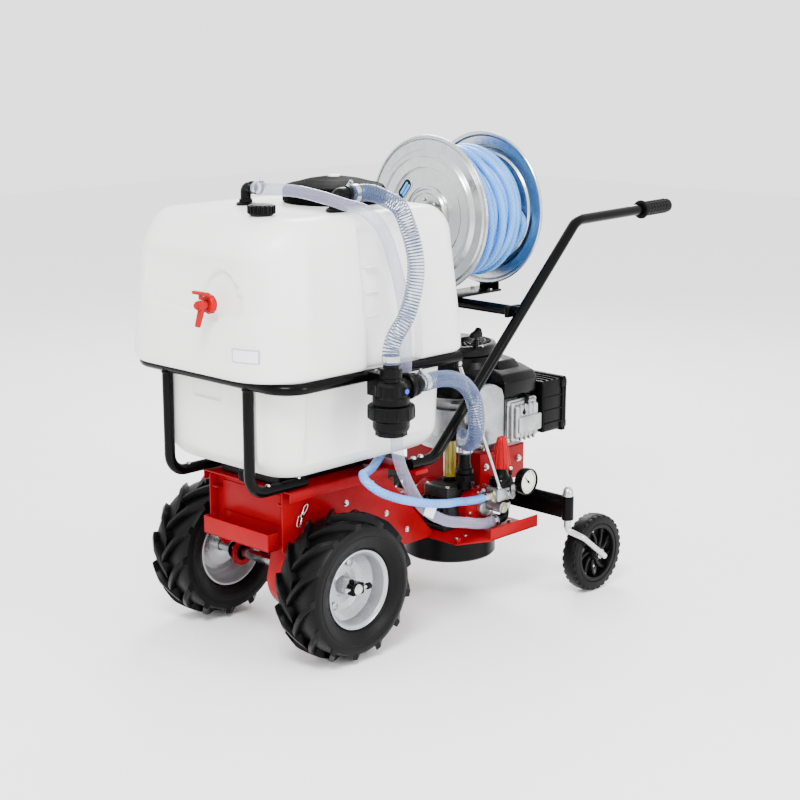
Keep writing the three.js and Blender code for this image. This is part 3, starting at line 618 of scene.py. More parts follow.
def add_clamp(piece, centre, axis, r, width):
    """A worm-drive clamp: a band with its screw housing on one side."""
    direction = AXES[axis]
    band = hollow(r, r + 1.2, -width / 2, width / 2)
    piece.lathe(band, axis, centre, ZINC, 40)
    side = direction.orthogonal().normalized()
    across = direction.cross(side)
    middle_at = Vector(centre) + side * (r + 4)
    piece.rod(middle_at - across * 8, middle_at + across * 9, 4, ZINC, 0.8, 16)
    piece.lathe(solid(5, 0, 5), across, middle_at + across * 9, ZINC, 6)


def add_hoses():
    suction = (SUCTION_D, SPIRAL_HOSE, "spiral_hose")
    upper = add_hose("suction_hose_top", SUCTION_UPPER, *suction, "suction_hose_upper")
    lower = add_hose("suction_hose_pump", SUCTION_LOWER, *suction, "suction_hose_lower")
    add_spiral("suction_spiral_top", upper, SUCTION_D / 2 - 0.6)
    add_spiral("suction_spiral_pump", lower, SUCTION_D / 2 - 0.6)
    add_hose("return_line", RETURN, RETURN_D, CLEAR_HOSE, "clear_hose", "return_hose")
    add_hose("delivery_line", DELIVERY, DELIVERY_D, BLUE_HOSE, "blue_hose", "delivery_hose")
    clamps = Piece()
    for place, axis, diameter, width in (
        ((97, -158, 1036), "x", SUCTION_D, 13),
        ((47, -321, 697), "z", SUCTION_D, 13),
        ((150, -321, 628), "x", SUCTION_D, 13),
        ((490, -140, 380), "z", SUCTION_D, 13),
        ((-6, 42, 1041), "y", RETURN_D, 8),
        ((512, -215, 206), "x", RETURN_D, 9),
        ((478, -215, 272), "x", DELIVERY_D, 10),
        ((462, 0, 893), "z", DELIVERY_D, 10),
    ):
        add_clamp(clamps, place, axis, diameter / 2 + CLAMP_GAP, width)
    clamps.done("hose_clamps", "chassis", "zinc")
    tag = Piece()
    tag.box(196, 232, -284, -282.5, 296, 330, LABEL_AND_HIGHLIGHT, 0.5, 1, Matrix.Rotation(0.5, 3, "Y"))
    tag.done("hose_tag", "chassis", "clear_hose")


# ---------- tyres, rims and hubs ----------
TYRE_R, RIM_R = 170, 92
CROWN_R = 153
LUGS = 13


def carcass(y):
    """The tyre's radius at that distance from its middle, without lugs."""
    t = min(abs(y) / 58, 1.0)
    return CROWN_R - 20 * t**3


def add_lug(piece, wheel, start, tyre_side):
    """One bar of the tread, from just past the middle out over the shoulder."""
    places = []
    steps = 8
    for i in range(steps + 1):
        t = i / steps
        y = -6 + 66 * t
        angle = start + 0.62 * t - 0.1 * t * t
        half_low, half_high = 12.5 - 1.5 * t, 8 - 1.0 * t
        base = carcass(y) - 4
        top = TYRE_R - 1.0 * (t < 0.1) - 12 * max(0.0, t - 0.62) / 0.38
        for r, half in ((base, half_low), (top - 1.5, half_high + 0.9), (top, half_high - 0.8)):
            for way in (-1, 1):
                a = angle + way * half / r
                places.append(at(*(wheel + Vector((-r * math.cos(a), tyre_side * y, r * math.sin(a))))))
    order = (0, 2, 4, 5, 3, 1)
    faces = []
    for i in range(steps):
        for k in range(6):
            a, b = order[k], order[(k + 1) % 6]
            faces.append((i * 6 + a, i * 6 + b, (i + 1) * 6 + b, (i + 1) * 6 + a))
    faces.append(tuple(order))
    faces.append(tuple(steps * 6 + k for k in reversed(order)))
    piece.faces(places, faces, TYRE)


def add_wheel(side, s):
    wheel = from_node(f"tyre_{side}")
    tyre = Piece()
    wall = [
        (RIM_R + 0.5, -45), (RIM_R + 3, -50), (99, -53), (102, -56), (108, -57.5), (110, -59.5),
        (124, -62.4), (126, -61.4), (130, -62.8), (138, -62), (146, -59), (CROWN_R - 3, -52),
        (CROWN_R, -34),
    ]
    tread = [(CROWN_R, h) for h in (-12, 12)]
    profile = wall + tread + [(r, -h) for r, h in reversed(wall)]
    tyre.lathe(profile + [profile[0]], "y", wheel, TYRE, 96)
    for i in range(LUGS):
        for half, tyre_side in enumerate((-1, 1)):
            add_lug(tyre, wheel, 2 * math.pi * (i + half / 2) / LUGS, tyre_side)
    tyre.done(f"tractor_tyre_{side}", f"wheel_{side}", "tyre", f"tyre_{side}")

    rim = Piece()
    out = lambda points: [(r, h * s) for r, h in points]
    dish = [
        (RIM_R - 0.5, 50), (RIM_R - 3, 51), (RIM_R - 6, 49), (RIM_R - 10, 45), (RIM_R - 12, 36),
        (RIM_R - 13, 12), (RIM_R - 22, 3), (60, -6), (46, -10), (30, -10), (20, -8), (20, 26), (13.6, 26),
        (13.6, -14), (30, -14), (46, -14), (62, -10), (RIM_R - 20, -4), (RIM_R - 12, -14),
        (RIM_R - 11, -40), (RIM_R - 6, -49), (RIM_R - 3, -51), (RIM_R - 0.5, -50), (RIM_R - 0.5, 50),
    ]
    rim.lathe(out(dish), "y", wheel, RIM, 72, 1.2)
    for k in range(2):
        a = 1.1 + math.pi * k
        spot = wheel + Vector((52 * math.cos(a), s * -7, 52 * math.sin(a)))
        rim.lathe(out([(0, 0), (9, 0), (9, 2.5), (6, 3.5), (5, 2), (0, 2)]), "y", spot, RIM, 24)
    valve = wheel + Vector((-66, s * 2, 26))
    rim.rod(valve, valve + Vector((6, s * 22, -3)), 3, PLASTIC, 0.8, 16)
    rim.done(f"wheel_rim_{side}", f"wheel_{side}", "rim_grey", f"rim_{side}")

    hub = Piece()
    x, y, z = wheel
    face = y + s * 27
    low, high = sorted((face, face + s * 20))
    hub.box(x - 17, x + 19, low, high, z - 13, z + 13, BLACK, 3)
    pin_y = face + s * 10
    hub.rod((x - 31, pin_y, z + 3), (x + 36, pin_y, z - 3), 4.5, ZINC)
    hub.rod((x + 33, pin_y, z - 3), (x + 47, pin_y, z - 3), 7.5, PLASTIC, 2)
    hub.rod((x - 36, pin_y, z + 3), (x - 28, pin_y, z + 3), 7, ZINC, 1.5)
    hub.rod((x - 4, face + s * 2, z + 10), (x - 4, face + s * 2, z + 20), 6, PLASTIC, 1.5)
    hub.rod((x, face + s * 19, z), (x, face + s * 23, z), 9, ZINC, 1.5)
    hub.done(f"hub_lock_{side}", f"wheel_{side}", "black_paint")


def add_axle():
    axle = Piece()
    x, _, z = from_node("axle_shaft")
    axle.rod((x, -266, z), (x, 266, z), 12.5, ZINC, 1.5, 48)
    axle.done("axle_bar", "axle", "zinc", "axle_shaft")
    bushes = Piece()
    for _, s in SIDES:
        bushes.rod((x, s * 126.4, z), (x, s * 158, z), 22, PLASTIC, 2, 40)
        bushes.rod((x, s * 126.4, z), (x, s * 131, z), 33, RED, 1, 40)
        for k in range(3):
            a = 0.5 + 2 * math.pi * k / 3
            spot = (x + 28 * math.cos(a), s * 131, z + 28 * math.sin(a))
            bushes.bolt(spot, (0, s, 0), 4)
    bushes.done("axle_bushes", "chassis", "black_plastic")


# ---------- casters ----------
CASTER_HALF, CASTER_R = 20, 98


def add_caster(side, s):
    wheel = from_node(f"caster_wheel_{side}")
    x, y, z = wheel
    roller = Piece()
    h = CASTER_HALF
    tread = [
        (76, -h), (88, -h), (94, -h + 3), (97, -h + 8), (CASTER_R, -6), (CASTER_R, 6), (97, h - 8),
        (94, h - 3), (88, h), (76, h), (74, h - 3), (74, -h + 3), (76, -h),
    ]
    roller.lathe(tread, "y", wheel, RUBBER, 72)
    for a in angles(30):
        for way in (-1, 1):
            low, high = sorted((y + way * 8, y + way * 18.6))
            turn = Matrix.Rotation(-a, 3, "Y")
            spot = Vector((x + 93.6 * math.cos(a), 0, z + 93.6 * math.sin(a)))
            roller.box(spot.x - 2.6, spot.x + 2.6, low, high, spot.z - 6, spot.z + 6, RUBBER, 1.2, 2, turn)
    rim = [(64, -h + 1), (74.4, -h + 1), (74.4, h - 1), (64, h - 1), (62, 4), (62, -4), (64, -h + 1)]
    roller.lathe(rim, "y", wheel, PLASTIC, 72, 1.5)
    roller.lathe(
        [(6.8, -h), (17, -h), (20, -h + 4), (20, h - 4), (17, h), (6.8, h), (6.8, -h)], "y", wheel, PLASTIC,
        40,
    )
    for k in range(9):
        points = []
        for i in range(7):
            t = i / 6
            a = 2 * math.pi * k / 9 + 0.55 * t
            r = 17 + 49 * t
            points.append(Vector((x + r * math.cos(a), 0, z + r * math.sin(a))))
        outline = []
        for i, p in enumerate(points):
            ahead = (points[min(i + 1, 6)] - points[max(i - 1, 0)]).normalized()
            outline.append((p, Vector((-ahead.z, 0, ahead.x)) * (4.5 - 1.2 * i / 6)))
        ring = [p + w for p, w in outline] + [p - w for p, w in reversed(outline)]
        roller.plate([(p.x, p.z) for p in ring], "y", y - 12, y + 12, PLASTIC, 1.2)
    roller.done(f"caster_roller_{side}", f"roller_{side}", "rubber", f"caster_wheel_{side}")

    arm_y = s * (abs(y) + CASTER_HALF + 12)
    stem_x = from_node("caster_bar").x
    fork = Piece()
    fork.tube(
        [(stem_x, y, 206), (stem_x, y, 176), (stem_x + 24, arm_y, 158), (x, arm_y, z)],
        8, ZINC, 16,
    )
    fork.rod((x - 4, arm_y, z + 3), (x + 12, arm_y, z - 9), 8, ZINC, 2)
    fork.rod((x, arm_y, z), (x, y - s * 23, z), 6, ZINC)
    fork.bolt((x + 1, arm_y + s * 3, z), (0, s, 0), 5.5)
    fork.lathe([(6.2, 0), (12, 0), (12, 9), (6.2, 9)], (0, s, 0), (x, y + s * 20.4, z), ZINC, 24)
    fork.rod((stem_x, y, 184), (stem_x, y, 266), 9, ZINC)
    dome = [(0, 265), (14, 265), (14, 272), (12.6, 279), (9, 285), (4, 287.6), (0, 288)]
    fork.lathe(dome, "z", (stem_x, y, 0), ZINC, 40)
    fork.done(f"caster_arm_{side}", f"fork_{side}", "zinc", f"caster_fork_{side}")


def add_caster_bar():
    x = from_node("caster_bar").x
    bar = Piece()
    bar.box(x - 6, x + 6, -335, 335, 206, 262, BLACK, 1.5)
    for _, s in SIDES:
        tube = hollow(9.4, 15, 204, 264)
        bar.lathe(tube, "z", (x, s * 335, 0), BLACK, 48, 1.2)
        for h in (218, 250):
            bar.bolt((x + 6, s * 70, h), "x", 6)
    bar.done("caster_beam", "chassis", "black_paint", "caster_bar")


# ---------- tank ----------
TANK_SIDE_STEPS, TANK_CORNER_STEPS = 72, 14
MOUTH = (160, -30)
TAP_Y, TAP_Z = -90, 826


def step_up(value, edge, soft):
    """0 below the edge and 1 above it, with a smooth change that is `soft` wide."""
    t = min(1.0, max(0.0, (value - edge) / soft + 0.5))
    return t * t * (3 - 2 * t)


def inside(value, low, high, soft):
    return step_up(value, low, soft) * (1 - step_up(value, high, soft))


def outline_ring(front, rear, half, corners, inset):
    """Points and outward directions round a rectangle with rounded corners, pulled in by the inset."""
    ring = []
    r0, r1 = (max(corner - inset * 0.6, 26) for corner in corners)
    x0, x1, h0, h1 = front + inset + r0, rear - inset - r1, half - inset - r0, half - inset - r1
    arcs = [(x0, h0, 90, r0), (x0, -h0, 180, r0), (x1, -h1, 270, r1), (x1, h1, 0, r1)]
    for i, (cx, cy, start, r) in enumerate(arcs):
        for k in range(TANK_CORNER_STEPS + 1):
            a = math.radians(start + 90 * k / TANK_CORNER_STEPS)
            normal = Vector((math.cos(a), math.sin(a)))
            ring.append((Vector((cx + r * math.cos(a), cy + r * math.sin(a))), normal))
        end, normal = ring[-1]
        nx, ny, turn, next_r = arcs[(i + 1) % 4]
        a = math.radians(turn)
        target = Vector((nx + next_r * math.cos(a), ny + next_r * math.sin(a)))
        for k in range(1, TANK_SIDE_STEPS):
            ring.append((end.lerp(target, k / TANK_SIDE_STEPS), normal))
    return ring


def shoulder_recess(p, n, z):
    """How far the upper tank's wall is pulled in: a channel in each side, panels at front and rear."""
    channel = abs(n.y) ** 2 * inside(p.x, 30, 196, 16) * inside(z, 640, 968, 26) * 15
    slant = 790 + (0.07 if p.y > TAP_Y else 0.2) * abs(p.y - TAP_Y)
    panel = step_up(z, slant, 5) * (1 - step_up(z, 920, 90))
    front = max(0, -n.x) ** 3 * inside(p.y, -206, 150, 4) * panel * 9
    arch = 892 - 0.014 * (p.y - TAP_Y) ** 2
    pocket = max(0, -n.x) ** 3 * inside(p.y, TAP_Y - 60, TAP_Y + 62, 4) * inside(z, 794, arch, 8) * 8
    rear = max(0, n.x) ** 3 * inside(p.y, -170, 170, 8) * inside(z, 700, 930, 8) * 9
    corner = step_up(-p.x, 120, 30) * step_up(-p.y, 120, 30)
    pillar = corner * step_up(-n.y, 0.42, 0.08) * inside(z, 762, 948 - 0.9 * abs(p.x + 95), 34) * -3
    return channel + front + pocket + rear + pillar


def belly_recess(p, n, z):
    """The same for the lower tank: a framed panel with a soft flute in each side, and one at the front."""
    panel = inside(p.x, -112, 292, 7) * inside(z, 474, 690, 8) * 11
    flute = inside(p.x, 96, 140, 40) * inside(z, 490, 700, 30) * 11
    front = max(0, -n.x) ** 3 * inside(p.y, -150, 158, 6) * inside(z, 462, 690, 8) * -8
    badge = max(0, -n.x) ** 3 * inside(p.y, -30, 62, 5) * inside(z, 596, 652, 5) * 5
    return abs(n.y) ** 2 * (panel + flute) + front + badge


def brow_drop(x, z):
    """The top falls away a little toward the tank's front wall."""
    return 24 * step_up(-x, 175, 90) * step_up(z, 925, 60)


def add_shell(piece, size, levels, recess, cap):
    """Stacks outlines at (height, inset) levels into one skin, closed at the bottom and by cap at the top."""
    places, count = [], 0
    for z, inset in levels:
        ring = outline_ring(*size, inset)
        count = len(ring)
        for p, n in ring:
            q = p - n * recess(p, n, z)
            places.append(at(q.x, q.y, z - brow_drop(q.x, z)))
    rings = len(levels)
    if cap:
        (cx, cy), r, steps = cap
        rim = outline_ring(*size, levels[-1][1])
        z = levels[-1][0]
        for i in range(1, steps + 1):
            t = i / steps
            for p, _ in rim:
                spoke = (p - Vector((cx, cy))).normalized()
                q = p.lerp(Vector((cx, cy)) + spoke * r, t)
                lift = 4 * step_up(t, 0.5, 1.0) - 2.5 * inside(t, 0.3, 0.7, 0.25)
                places.append(at(q.x, q.y, z + lift - brow_drop(q.x, z)))
        rings += steps
    faces = [
        (i * count + k, i * count + (k + 1) % count, (i + 1) * count + (k + 1) % count, (i + 1) * count + k)
        for i in range(rings - 1)
        for k in range(count)
    ]
    faces.append(tuple(reversed(range(count))))
    faces.append(tuple((rings - 1) * count + k for k in range(count)))
    piece.faces(places, faces, TANK_WHITE)


TANK_TOP, TANK_LIP, TANK_BOTTOM = 1000, 664.2, 430
# front x, rear x, half width, and the corner radii at front and rear
UPPER_TANK = (-255, 366, 270, (130, 62))
LOWER_TANK = (-178, 340, 220, (84, 70))


def knurls(piece, centre, r, z0, z1, count, size, material):
    """Grip ribs round a cap."""
    for a in angles(count):
        x, y = centre[0] + r * math.cos(a), centre[1] + r * math.sin(a)
        turn = Matrix.Rotation(a, 3, "Z")
        piece.box(x - size, x + size, y - size * 0.8, y + size * 0.8, z0, z1, material, size * 0.6, 2, turn)


def add_tank():
    tank = Piece()
    taper, shoulder, wall_foot, rows = 22, 74, 690, 64
    levels = [
        (TANK_LIP, 12), (TANK_LIP + 2, 5), (TANK_LIP + 6, 1.5), (TANK_LIP + 12, 0), (TANK_LIP + 22, 0),
    ]
    rise = TANK_TOP - shoulder - wall_foot
    levels += [(wall_foot + rise * i / rows, taper * (i / rows) ** 1.15) for i in range(rows + 1)]
    for i in range(1, 13):
        a = math.pi / 2 * i / 12
        bow = (shoulder - taper) * (1 - math.cos(a))
        levels.append((TANK_TOP - shoulder + shoulder * math.sin(a), taper + bow))
    add_shell(tank, UPPER_TANK, levels, shoulder_recess, (MOUTH, 112, 12))
    foot, belly_rise = 60, 180
    levels = []
    for i in range(10):
        a = math.pi / 2 * (1 - i / 9)
        levels.append((TANK_BOTTOM + foot * (1 - math.sin(a)), foot * (1 - math.cos(a))))
    levels += [(TANK_BOTTOM + foot + belly_rise * i / rows, -6 * (i / rows)) for i in range(1, rows + 1)]
    add_shell(tank, LOWER_TANK, levels, belly_recess, None)
    neck = [(98, 985), (111, 985), (111, 1003), (108, 1004), (108, 1018), (98, 1018), (98, 985)]
    tank.lathe(neck, "z", (*MOUTH, 0), TANK_WHITE, 96, 1.0)
    for z in (776, 830, 885):
        tank.box(44, 80, -250, -240, z, z + 3, TANK_WHITE, 1, 2)
    label_layers = ((129.6, 4, 34, 709, 738, LABEL_EDGE), (130.2, 5.5, 32.5, 711, 736, LABEL_AND_HIGHLIGHT))
    for r, first, last, z0, z1, material in label_layers:
        band = [(r, first + (last - first) * k / 12) for k in range(13)]
        band += [(122, a) for _, a in reversed(band)]
        arc = [(-125 - r * math.cos(math.radians(a)), -140 - r * math.sin(math.radians(a))) for r, a in band]
        tank.plate(arc, "z", z0, z1, material, 0)
    tank.done("tank_shell", "chassis", "white_tank", "tank")


def add_lid():
    lid = Piece()
    dome = [
        (0, 1062), (30, 1060.5), (60, 1056), (88, 1048.5), (98, 1045), (101, 1046), (112, 1042),
        (116, 1037), (117, 1030), (117, 1008), (114.5, 1005), (112, 1005), (111, 1026), (0, 1026),
    ]
    lid.lathe(dome, "z", (*MOUTH, 0), LID, 96, 1.5)
    knurls(lid, MOUTH, 116.6, 1008, 1034, 48, 1.3, LID)
    lid.lathe(
        [(0, 1061), (14, 1061), (14, 1064), (11, 1065.6), (0, 1066)], "z", (*MOUTH, 0), LABEL_AND_HIGHLIGHT, 32, 0.6
    )
    lid.done("lid", "lid", "black_plastic", "tank_lid")


def add_vent_cap():
    x, y, _ = from_node("vent_cap")
    vent = Piece()
    vent.lathe(
        [(0, 1000.6), (24, 1000.6), (26, 1003), (28.5, 1004), (28.5, 1021), (25, 1024), (0, 1024)], "z",
        (x, y, 0), PLASTIC, 64, 1.0,
    )
    knurls(vent, (x, y), 28.6, 1005, 1022.5, 20, 2.2, PLASTIC)
    vent.done("vent_screw_cap", "vent", "black_plastic", "vent_cap")


def add_drain_cap():
    x, y, _ = from_node("drain_cap")
    drain = Piece()
    drain.lathe([(0, 401), (13, 401), (15, 403), (15, 429), (0, 429.5)], "z", (x, y, 0), PLASTIC, 48, 1.0)
    knurls(drain, (x, y), 15, 403, 424, 16, 1.8, PLASTIC)
    drain.done("drain_screw_cap", "drain", "black_plastic", "drain_cap")


def add_tank_pad():
    pad = Piece()
    pad.box(-85, 190, -100, 100, 391.6, 429.4, RUBBER, 6)
    pad.done("tank_pad", "chassis", "rubber", "tank_cushion")


def add_tank_caps():
    add_lid()
    add_vent_cap()
    add_drain_cap()
    add_tank_pad()


def add_elbows():
    x = -6
    back = Piece()
    back.lathe(
        [(0, 1000.5), (22, 1000.5), (22, 1005), (19, 1007), (14, 1008), (0, 1008)], "z", (x, 84, 0),
        PLASTIC, 48,
    )
    back.lathe(solid(17, 1008, 1014), "z", (x, 84, 0), PLASTIC, 6)
    back.tube([(x, 84, 1010), (x, 84, 1041), (x, 60, 1041)], 12, PLASTIC, 13)
    back.lathe(
        [(12, 20), (14.5, 22), (14.5, 26), (11, 30), (11, 33), (10, 33), (10, 20), (12, 20)], (0, -1, 0),
        (x, 87, 1041), PLASTIC, 40,
    )
    back.done("return_bend", "chassis", "black_plastic", "return_elbow")
    out = Piece()
    out.lathe(
        [(0, 1000.5), (24, 1000.5), (24, 1005), (20, 1008), (0, 1008)], "z", (45, -158, 0), PLASTIC, 48
    )
    out.lathe(solid(20, 1008, 1014), "z", (45, -158, 0), PLASTIC, 6)
    out.tube([(45, -158, 1010), (45, -158, 1036), (76, -158, 1036)], 16, PLASTIC, 16)
    out.lathe([(16, 0), (18.6, 2), (18.6, 7), (16, 9), (16, 12), (12, 12), (12, 0), (16, 0)], "x",
              (71, -158, 1036), PLASTIC, 40)
    out.done("suction_bend", "chassis", "black_plastic", "suction_elbow")


def add_tap():
    x, y, z = UPPER_TANK[0], TAP_Y, TAP_Z
    body = Piece()
    nut = [(0, 0.6), (18, 0.6), (20, 2.5), (20, 13), (18, 16), (12, 17), (0, 17)]
    body.lathe(nut, (-1, 0, 0), (x, y, z), RED_PLASTIC, 48, 0.8)
    for u, v in circle(12, 19.6):
        spot = Vector((x, y + u, z + v))
        body.rod(spot + Vector((-3, 0, 0)), spot + Vector((-13, 0, 0)), 1.9, RED_PLASTIC, 0.5, 12)
    body.rod((x - 16, y, z), (x - 42, y, z), 10, RED_PLASTIC, 2)
    body.rod((x - 40, y, z), (x - 46, y, z), 7, RED_PLASTIC, 1.5)
    spout = [(x - 30, y, z + 9), (x - 30, y, z - 12), (x - 34, y + 8, z - 46)]
    body.tube(spout, lambda run: 8.4 - 0.035 * run, RED_PLASTIC, 12)
    body.done("tap_housing", "chassis", "red_plastic", "tap_body")
    lever = Piece()
    lever.rod((x - 30, y, z + 11.6), (x - 30, y, z + 24), 5, RED_PLASTIC)
    lever.box(x - 36, x - 24, y - 24, y + 24, z + 21.5, z + 29, RED_PLASTIC, 2.5)
    lever.done("tap_grip", "tap_handle", "red_plastic", "tap_lever")


def add_tank_frame():
    tubes = Piece()
    rail, half, r = 651, 258, 12.5
    tubes.tube(
        [(336, -half, rail), (-202, -half, rail), (-202, half, rail), (336, half, rail)], r, BLACK, 60, 24
    )
    foot = 404
    for _, s in SIDES:
        y = s * 137
        tubes.tube([(-202, y, rail), (-202, y, foot), (-40, y, foot)], r, BLACK, 42, 24)
        tubes.lathe(
            [(r - 1, -6), (r + 2, 0), (r - 1, 6), (r - 1, -6)], "z", (-202, y, rail - 12), BLACK, 24
        )
        tubes.box(322, 344, s * half - 4, s * half + 4, rail - 26, rail + 4, BLACK, 2)
        tubes.bolt((333, s * (half + 4), rail - 16), (0, s, 0), 5)
        for x in (-150, -60):
            tubes.bolt((x, y, foot + r - 1.5), "z", 5)
    tubes.tube([(330, -half, rail - 3), (513, -233, 299)], 4, ZINC, sides=16)
    tubes.tube([(330, half, rail - 3), (505, 250, 206)], 4, ZINC, sides=16)
    tubes.rod((507, -233, 293), (517, -233, 293), 5, ZINC)
    tubes.box(494, 516, 247, 253, 204, 216, BLACK, 1.5)
    tubes.box(31, 63, -303, -245, 653.5, 662, BLACK, 2)
    tubes.box(31, 37, -303, -262, 610, 660, BLACK, 1.5)
    for y in (-276, -292):
        tubes.bolt((47, y, 662), "z", 4)
    tubes.done("tank_rail", "chassis", "black_paint", "tank_frame")


# ---------- filter ----------
FILTER = (47, -321)


def add_filter_head():
    x, y = FILTER
    head = Piece()
    stack = [
        (0, 596), (40, 596), (41, 598), (41, 612), (36, 616), (36, 640), (30, 646), (24, 648), (24, 655),
        (21, 656), (21, 664), (18, 665), (18, 684), (14, 684.6), (0, 684.6),
    ]
    head.lathe(stack, "z", (x, y, 0), PLASTIC, 64, 1.0)
    head.lathe(solid(25.5, 656, 676), "z", (x, y, 0), PLASTIC, 10, 1.0)
    for u, v in circle(10, 35, math.pi / 10):
        head.rod((x + u, y + v, 600), (x + u, y + v, 640), 2.2, PLASTIC, 0.8, 12)
    arm = [
        (0, 20), (20, 20), (20, 42), (27, 43), (30, 46), (30, 54), (27, 57), (22, 58), (22, 64), (25, 66),
        (25, 76), (19, 78), (19, 87), (0, 87),
    ]
    head.lathe(arm, "x", (x, y, 628), PLASTIC, 64, 0.8)
    for u, v in circle(16, 25):
        spot = Vector((x, y + u, 628 + v))
        head.rod(spot + Vector((67, 0, 0)), spot + Vector((75, 0, 0)), 1.6, PLASTIC, 0.4, 10)
    head.rod((x + 8, y - 36, 628), (x + 8, y - 42, 628), 6, BLUE_DOT, 1.5)
    head.rod((x + 8, y - 30, 628), (x + 8, y - 39, 628), 9, PLASTIC, 1.5)
    head.done("filter_top", "chassis", "black_plastic", "filter_head")


def add_filter_bowl():
    x, y = FILTER
    bowl = Piece()
    cup = [
        (0, 524.5), (24, 524.5), (27, 527), (33, 527), (35, 531), (35, 537), (38, 539), (41, 546),
        (41, 560), (46, 563), (52, 567), (52, 593), (49, 595.4), (37, 595.4), (37, 560), (34, 542),
        (26, 530), (0, 530),
    ]
    bowl.lathe(cup, "z", (x, y, 0), PLASTIC, 72, 0.8)
    for u, v in circle(12, 51.4):
        bowl.rod((x + u, y + v, 569), (x + u, y + v, 592), 2.4, PLASTIC, 1, 12)
    for u, v in circle(12, 34.5):
        bowl.rod((x + u, y + v, 528), (x + u, y + v, 538), 1.8, PLASTIC, 0.6, 10)
    bowl.done("filter_cup_shell", "filter_cup", "black_plastic", "filter_bowl")


def add_filter():
    add_filter_head()
    add_filter_bowl()


# ---------- chassis ----------
PLATE, SIDE_Y, PAN_Z, ENGINE_BASE = 4, 126, 173, 350


def add_cheeks_and_deck():
    frame_red = Piece()
    outline = [(-99, 250), (-60, 205), (60, 205), (240, 177.4), (400, 177.4), (205, 386.6), (-99, 386.6)]
    for _, s in SIDES:
        a, b = span(s, SIDE_Y, SIDE_Y - PLATE)
        shape = rounded(outline, 8, 4)
        frame_red.plate(shape, "y", a, b, RED)
        wall = span(s, SIDE_Y - PLATE, SIDE_Y - PLATE - 20)
        frame_red.box(-95, 190, *wall, 352, 356, RED, 1)
        frame_red.box(214, 262, *span(s, SIDE_Y - PLATE, 20), 384, 387, RED, 1)
    frame_red.done("side_cheeks", "chassis", "red_paint", "side_plate_left", "side_plate_right")
    deck = Piece()
    deck.box(-99, 270, -150, 150, 387, 391, RED, 1.2)
    for _, s in SIDES:
        deck.box(-96, 212, *span(s, 150, 146), 366, 390.5, RED, 1.2)
    deck.box(208, 250, -242, 242, 387, 397.4, RED, 1.5)
    deck.done("deck", "chassis", "red_paint", "deck_plate")


def add_tray():
    tray = Piece()
    tray.box(-130, -74, -112, 112, 251, 254, RED, 1)
    tray.box(-130, -127, -112, 112, 251, 292, RED, 1.2)
    for _, s in SIDES:
        tray.box(-130, -99.5, *span(s, 112, 109), 251, 292, RED, 1.2)
        tray.bolt((-127, s * 96, 272), "x", 4)
    tray.box(-78, -74, -121.6, 121.6, 251, 386.6, RED, 1)
    tray.box(-80.5, -77, -100, 100, 300, 372, RED, 1.6)
    tray.done("tool_tray", "chassis", "red_paint", "front_tray")


def add_pan():
    pan = Piece()
    sheet = [(380, -215), (460, -253), (640, -253), (640, 253), (460, 253), (380, 215)]
    pan.plate(sheet, "z", PAN_Z, PAN_Z + PLATE, RED)
    pan.box(240, 388, -120.6, 120.6, PAN_Z, PAN_Z + PLATE, RED, 1)
    for _, s in SIDES:
        pan.box(462, 640, *span(s, 253, 249), PAN_Z, 203, RED, 1.2)
        pan.plate([(384, 177), (398, 177), (398, 190), (384, 186)], "y", *span(s, 214, 211), RED, 0.6)
        for x in (412, 444, 610):
            pan.bolt((x, s * 185, PAN_Z + PLATE), "z", 5)
    pan.done("pump_pan", "chassis", "red_paint", "rear_pan")


def add_engine_bed():
    stand = Piece()
    top = ENGINE_BASE - 0.4
    stand.box(562, 735, -SIDE_Y, SIDE_Y, top - PLATE, top, RED, 1.2)
    for _, s in SIDES:
        stand.box(562, 735, *span(s, SIDE_Y, SIDE_Y - PLATE), 262.4, top, RED, 1.2)
        for x in (586, 712):
            stand.bolt((x, s * SIDE_Y, 312), (0, s, 0), 7)
        stand.bolt((600, s * 104, top), "z", 6)
    stand.box(562, 566, -SIDE_Y, SIDE_Y, 177.4, top, RED, 1.2)
    stand.done("engine_bed", "chassis", "red_paint", "engine_stand")


def add_gearbox():
    case = Piece()
    lower_half = [math.pi + math.pi * k / 24 for k in range(25)]
    half_round = [(86 * math.cos(a), 170 + 86 * math.sin(a)) for a in lower_half]
    shell = half_round + [(86, 296), (-56, 296)]
    case.plate(shell, "y", -104, -52, RED, 4)
    case.plate([(x * 0.93, 170 + (z - 170) * 0.95) for x, z in shell], "y", -106, -50, RED, 3)
    for k in range(8):
        a = math.pi + 0.2 + (math.pi - 0.4) * k / 7
        case.bolt((77 * math.cos(a), -105.5, 170 + 77 * math.sin(a)), (0, -1, 0), 3.5)
    case.done("gearbox_shell", "chassis", "red_paint", "gear_case")


def add_fixings():
    fixings = Piece()
    for x, z in ((97, 322), (229, 269), (182, 362), (150, 232), (300, 214), (-60, 370)):
        for _, s in SIDES:
            fixings.bolt((x, s * SIDE_Y, z), (0, s, 0), 6)
    pin = [
        (-52, -127, 326), (-60, -133, 318), (-66, -137, 306), (-61, -139, 302), (-52, -136, 316),
        (-44, -132, 332), (-36, -131, 345), (-30, -133, 348), (-31, -134, 340), (-44, -133, 324),
    ]
    fixings.tube(smooth_path(pin, 2.0), 1.3, ZINC, sides=8)
    fixings.rod((-52, -126, 326), (-52, -140, 326), 4.5, ZINC)
    fixings.done("frame_bolts", "chassis", "zinc")


def add_chassis():
    add_cheeks_and_deck()
    add_tray()
    add_pan()
    add_engine_bed()
    add_gearbox()
    add_fixings()


# ---------- pump, regulator and gauge ----------
PUMP = (497, -85)


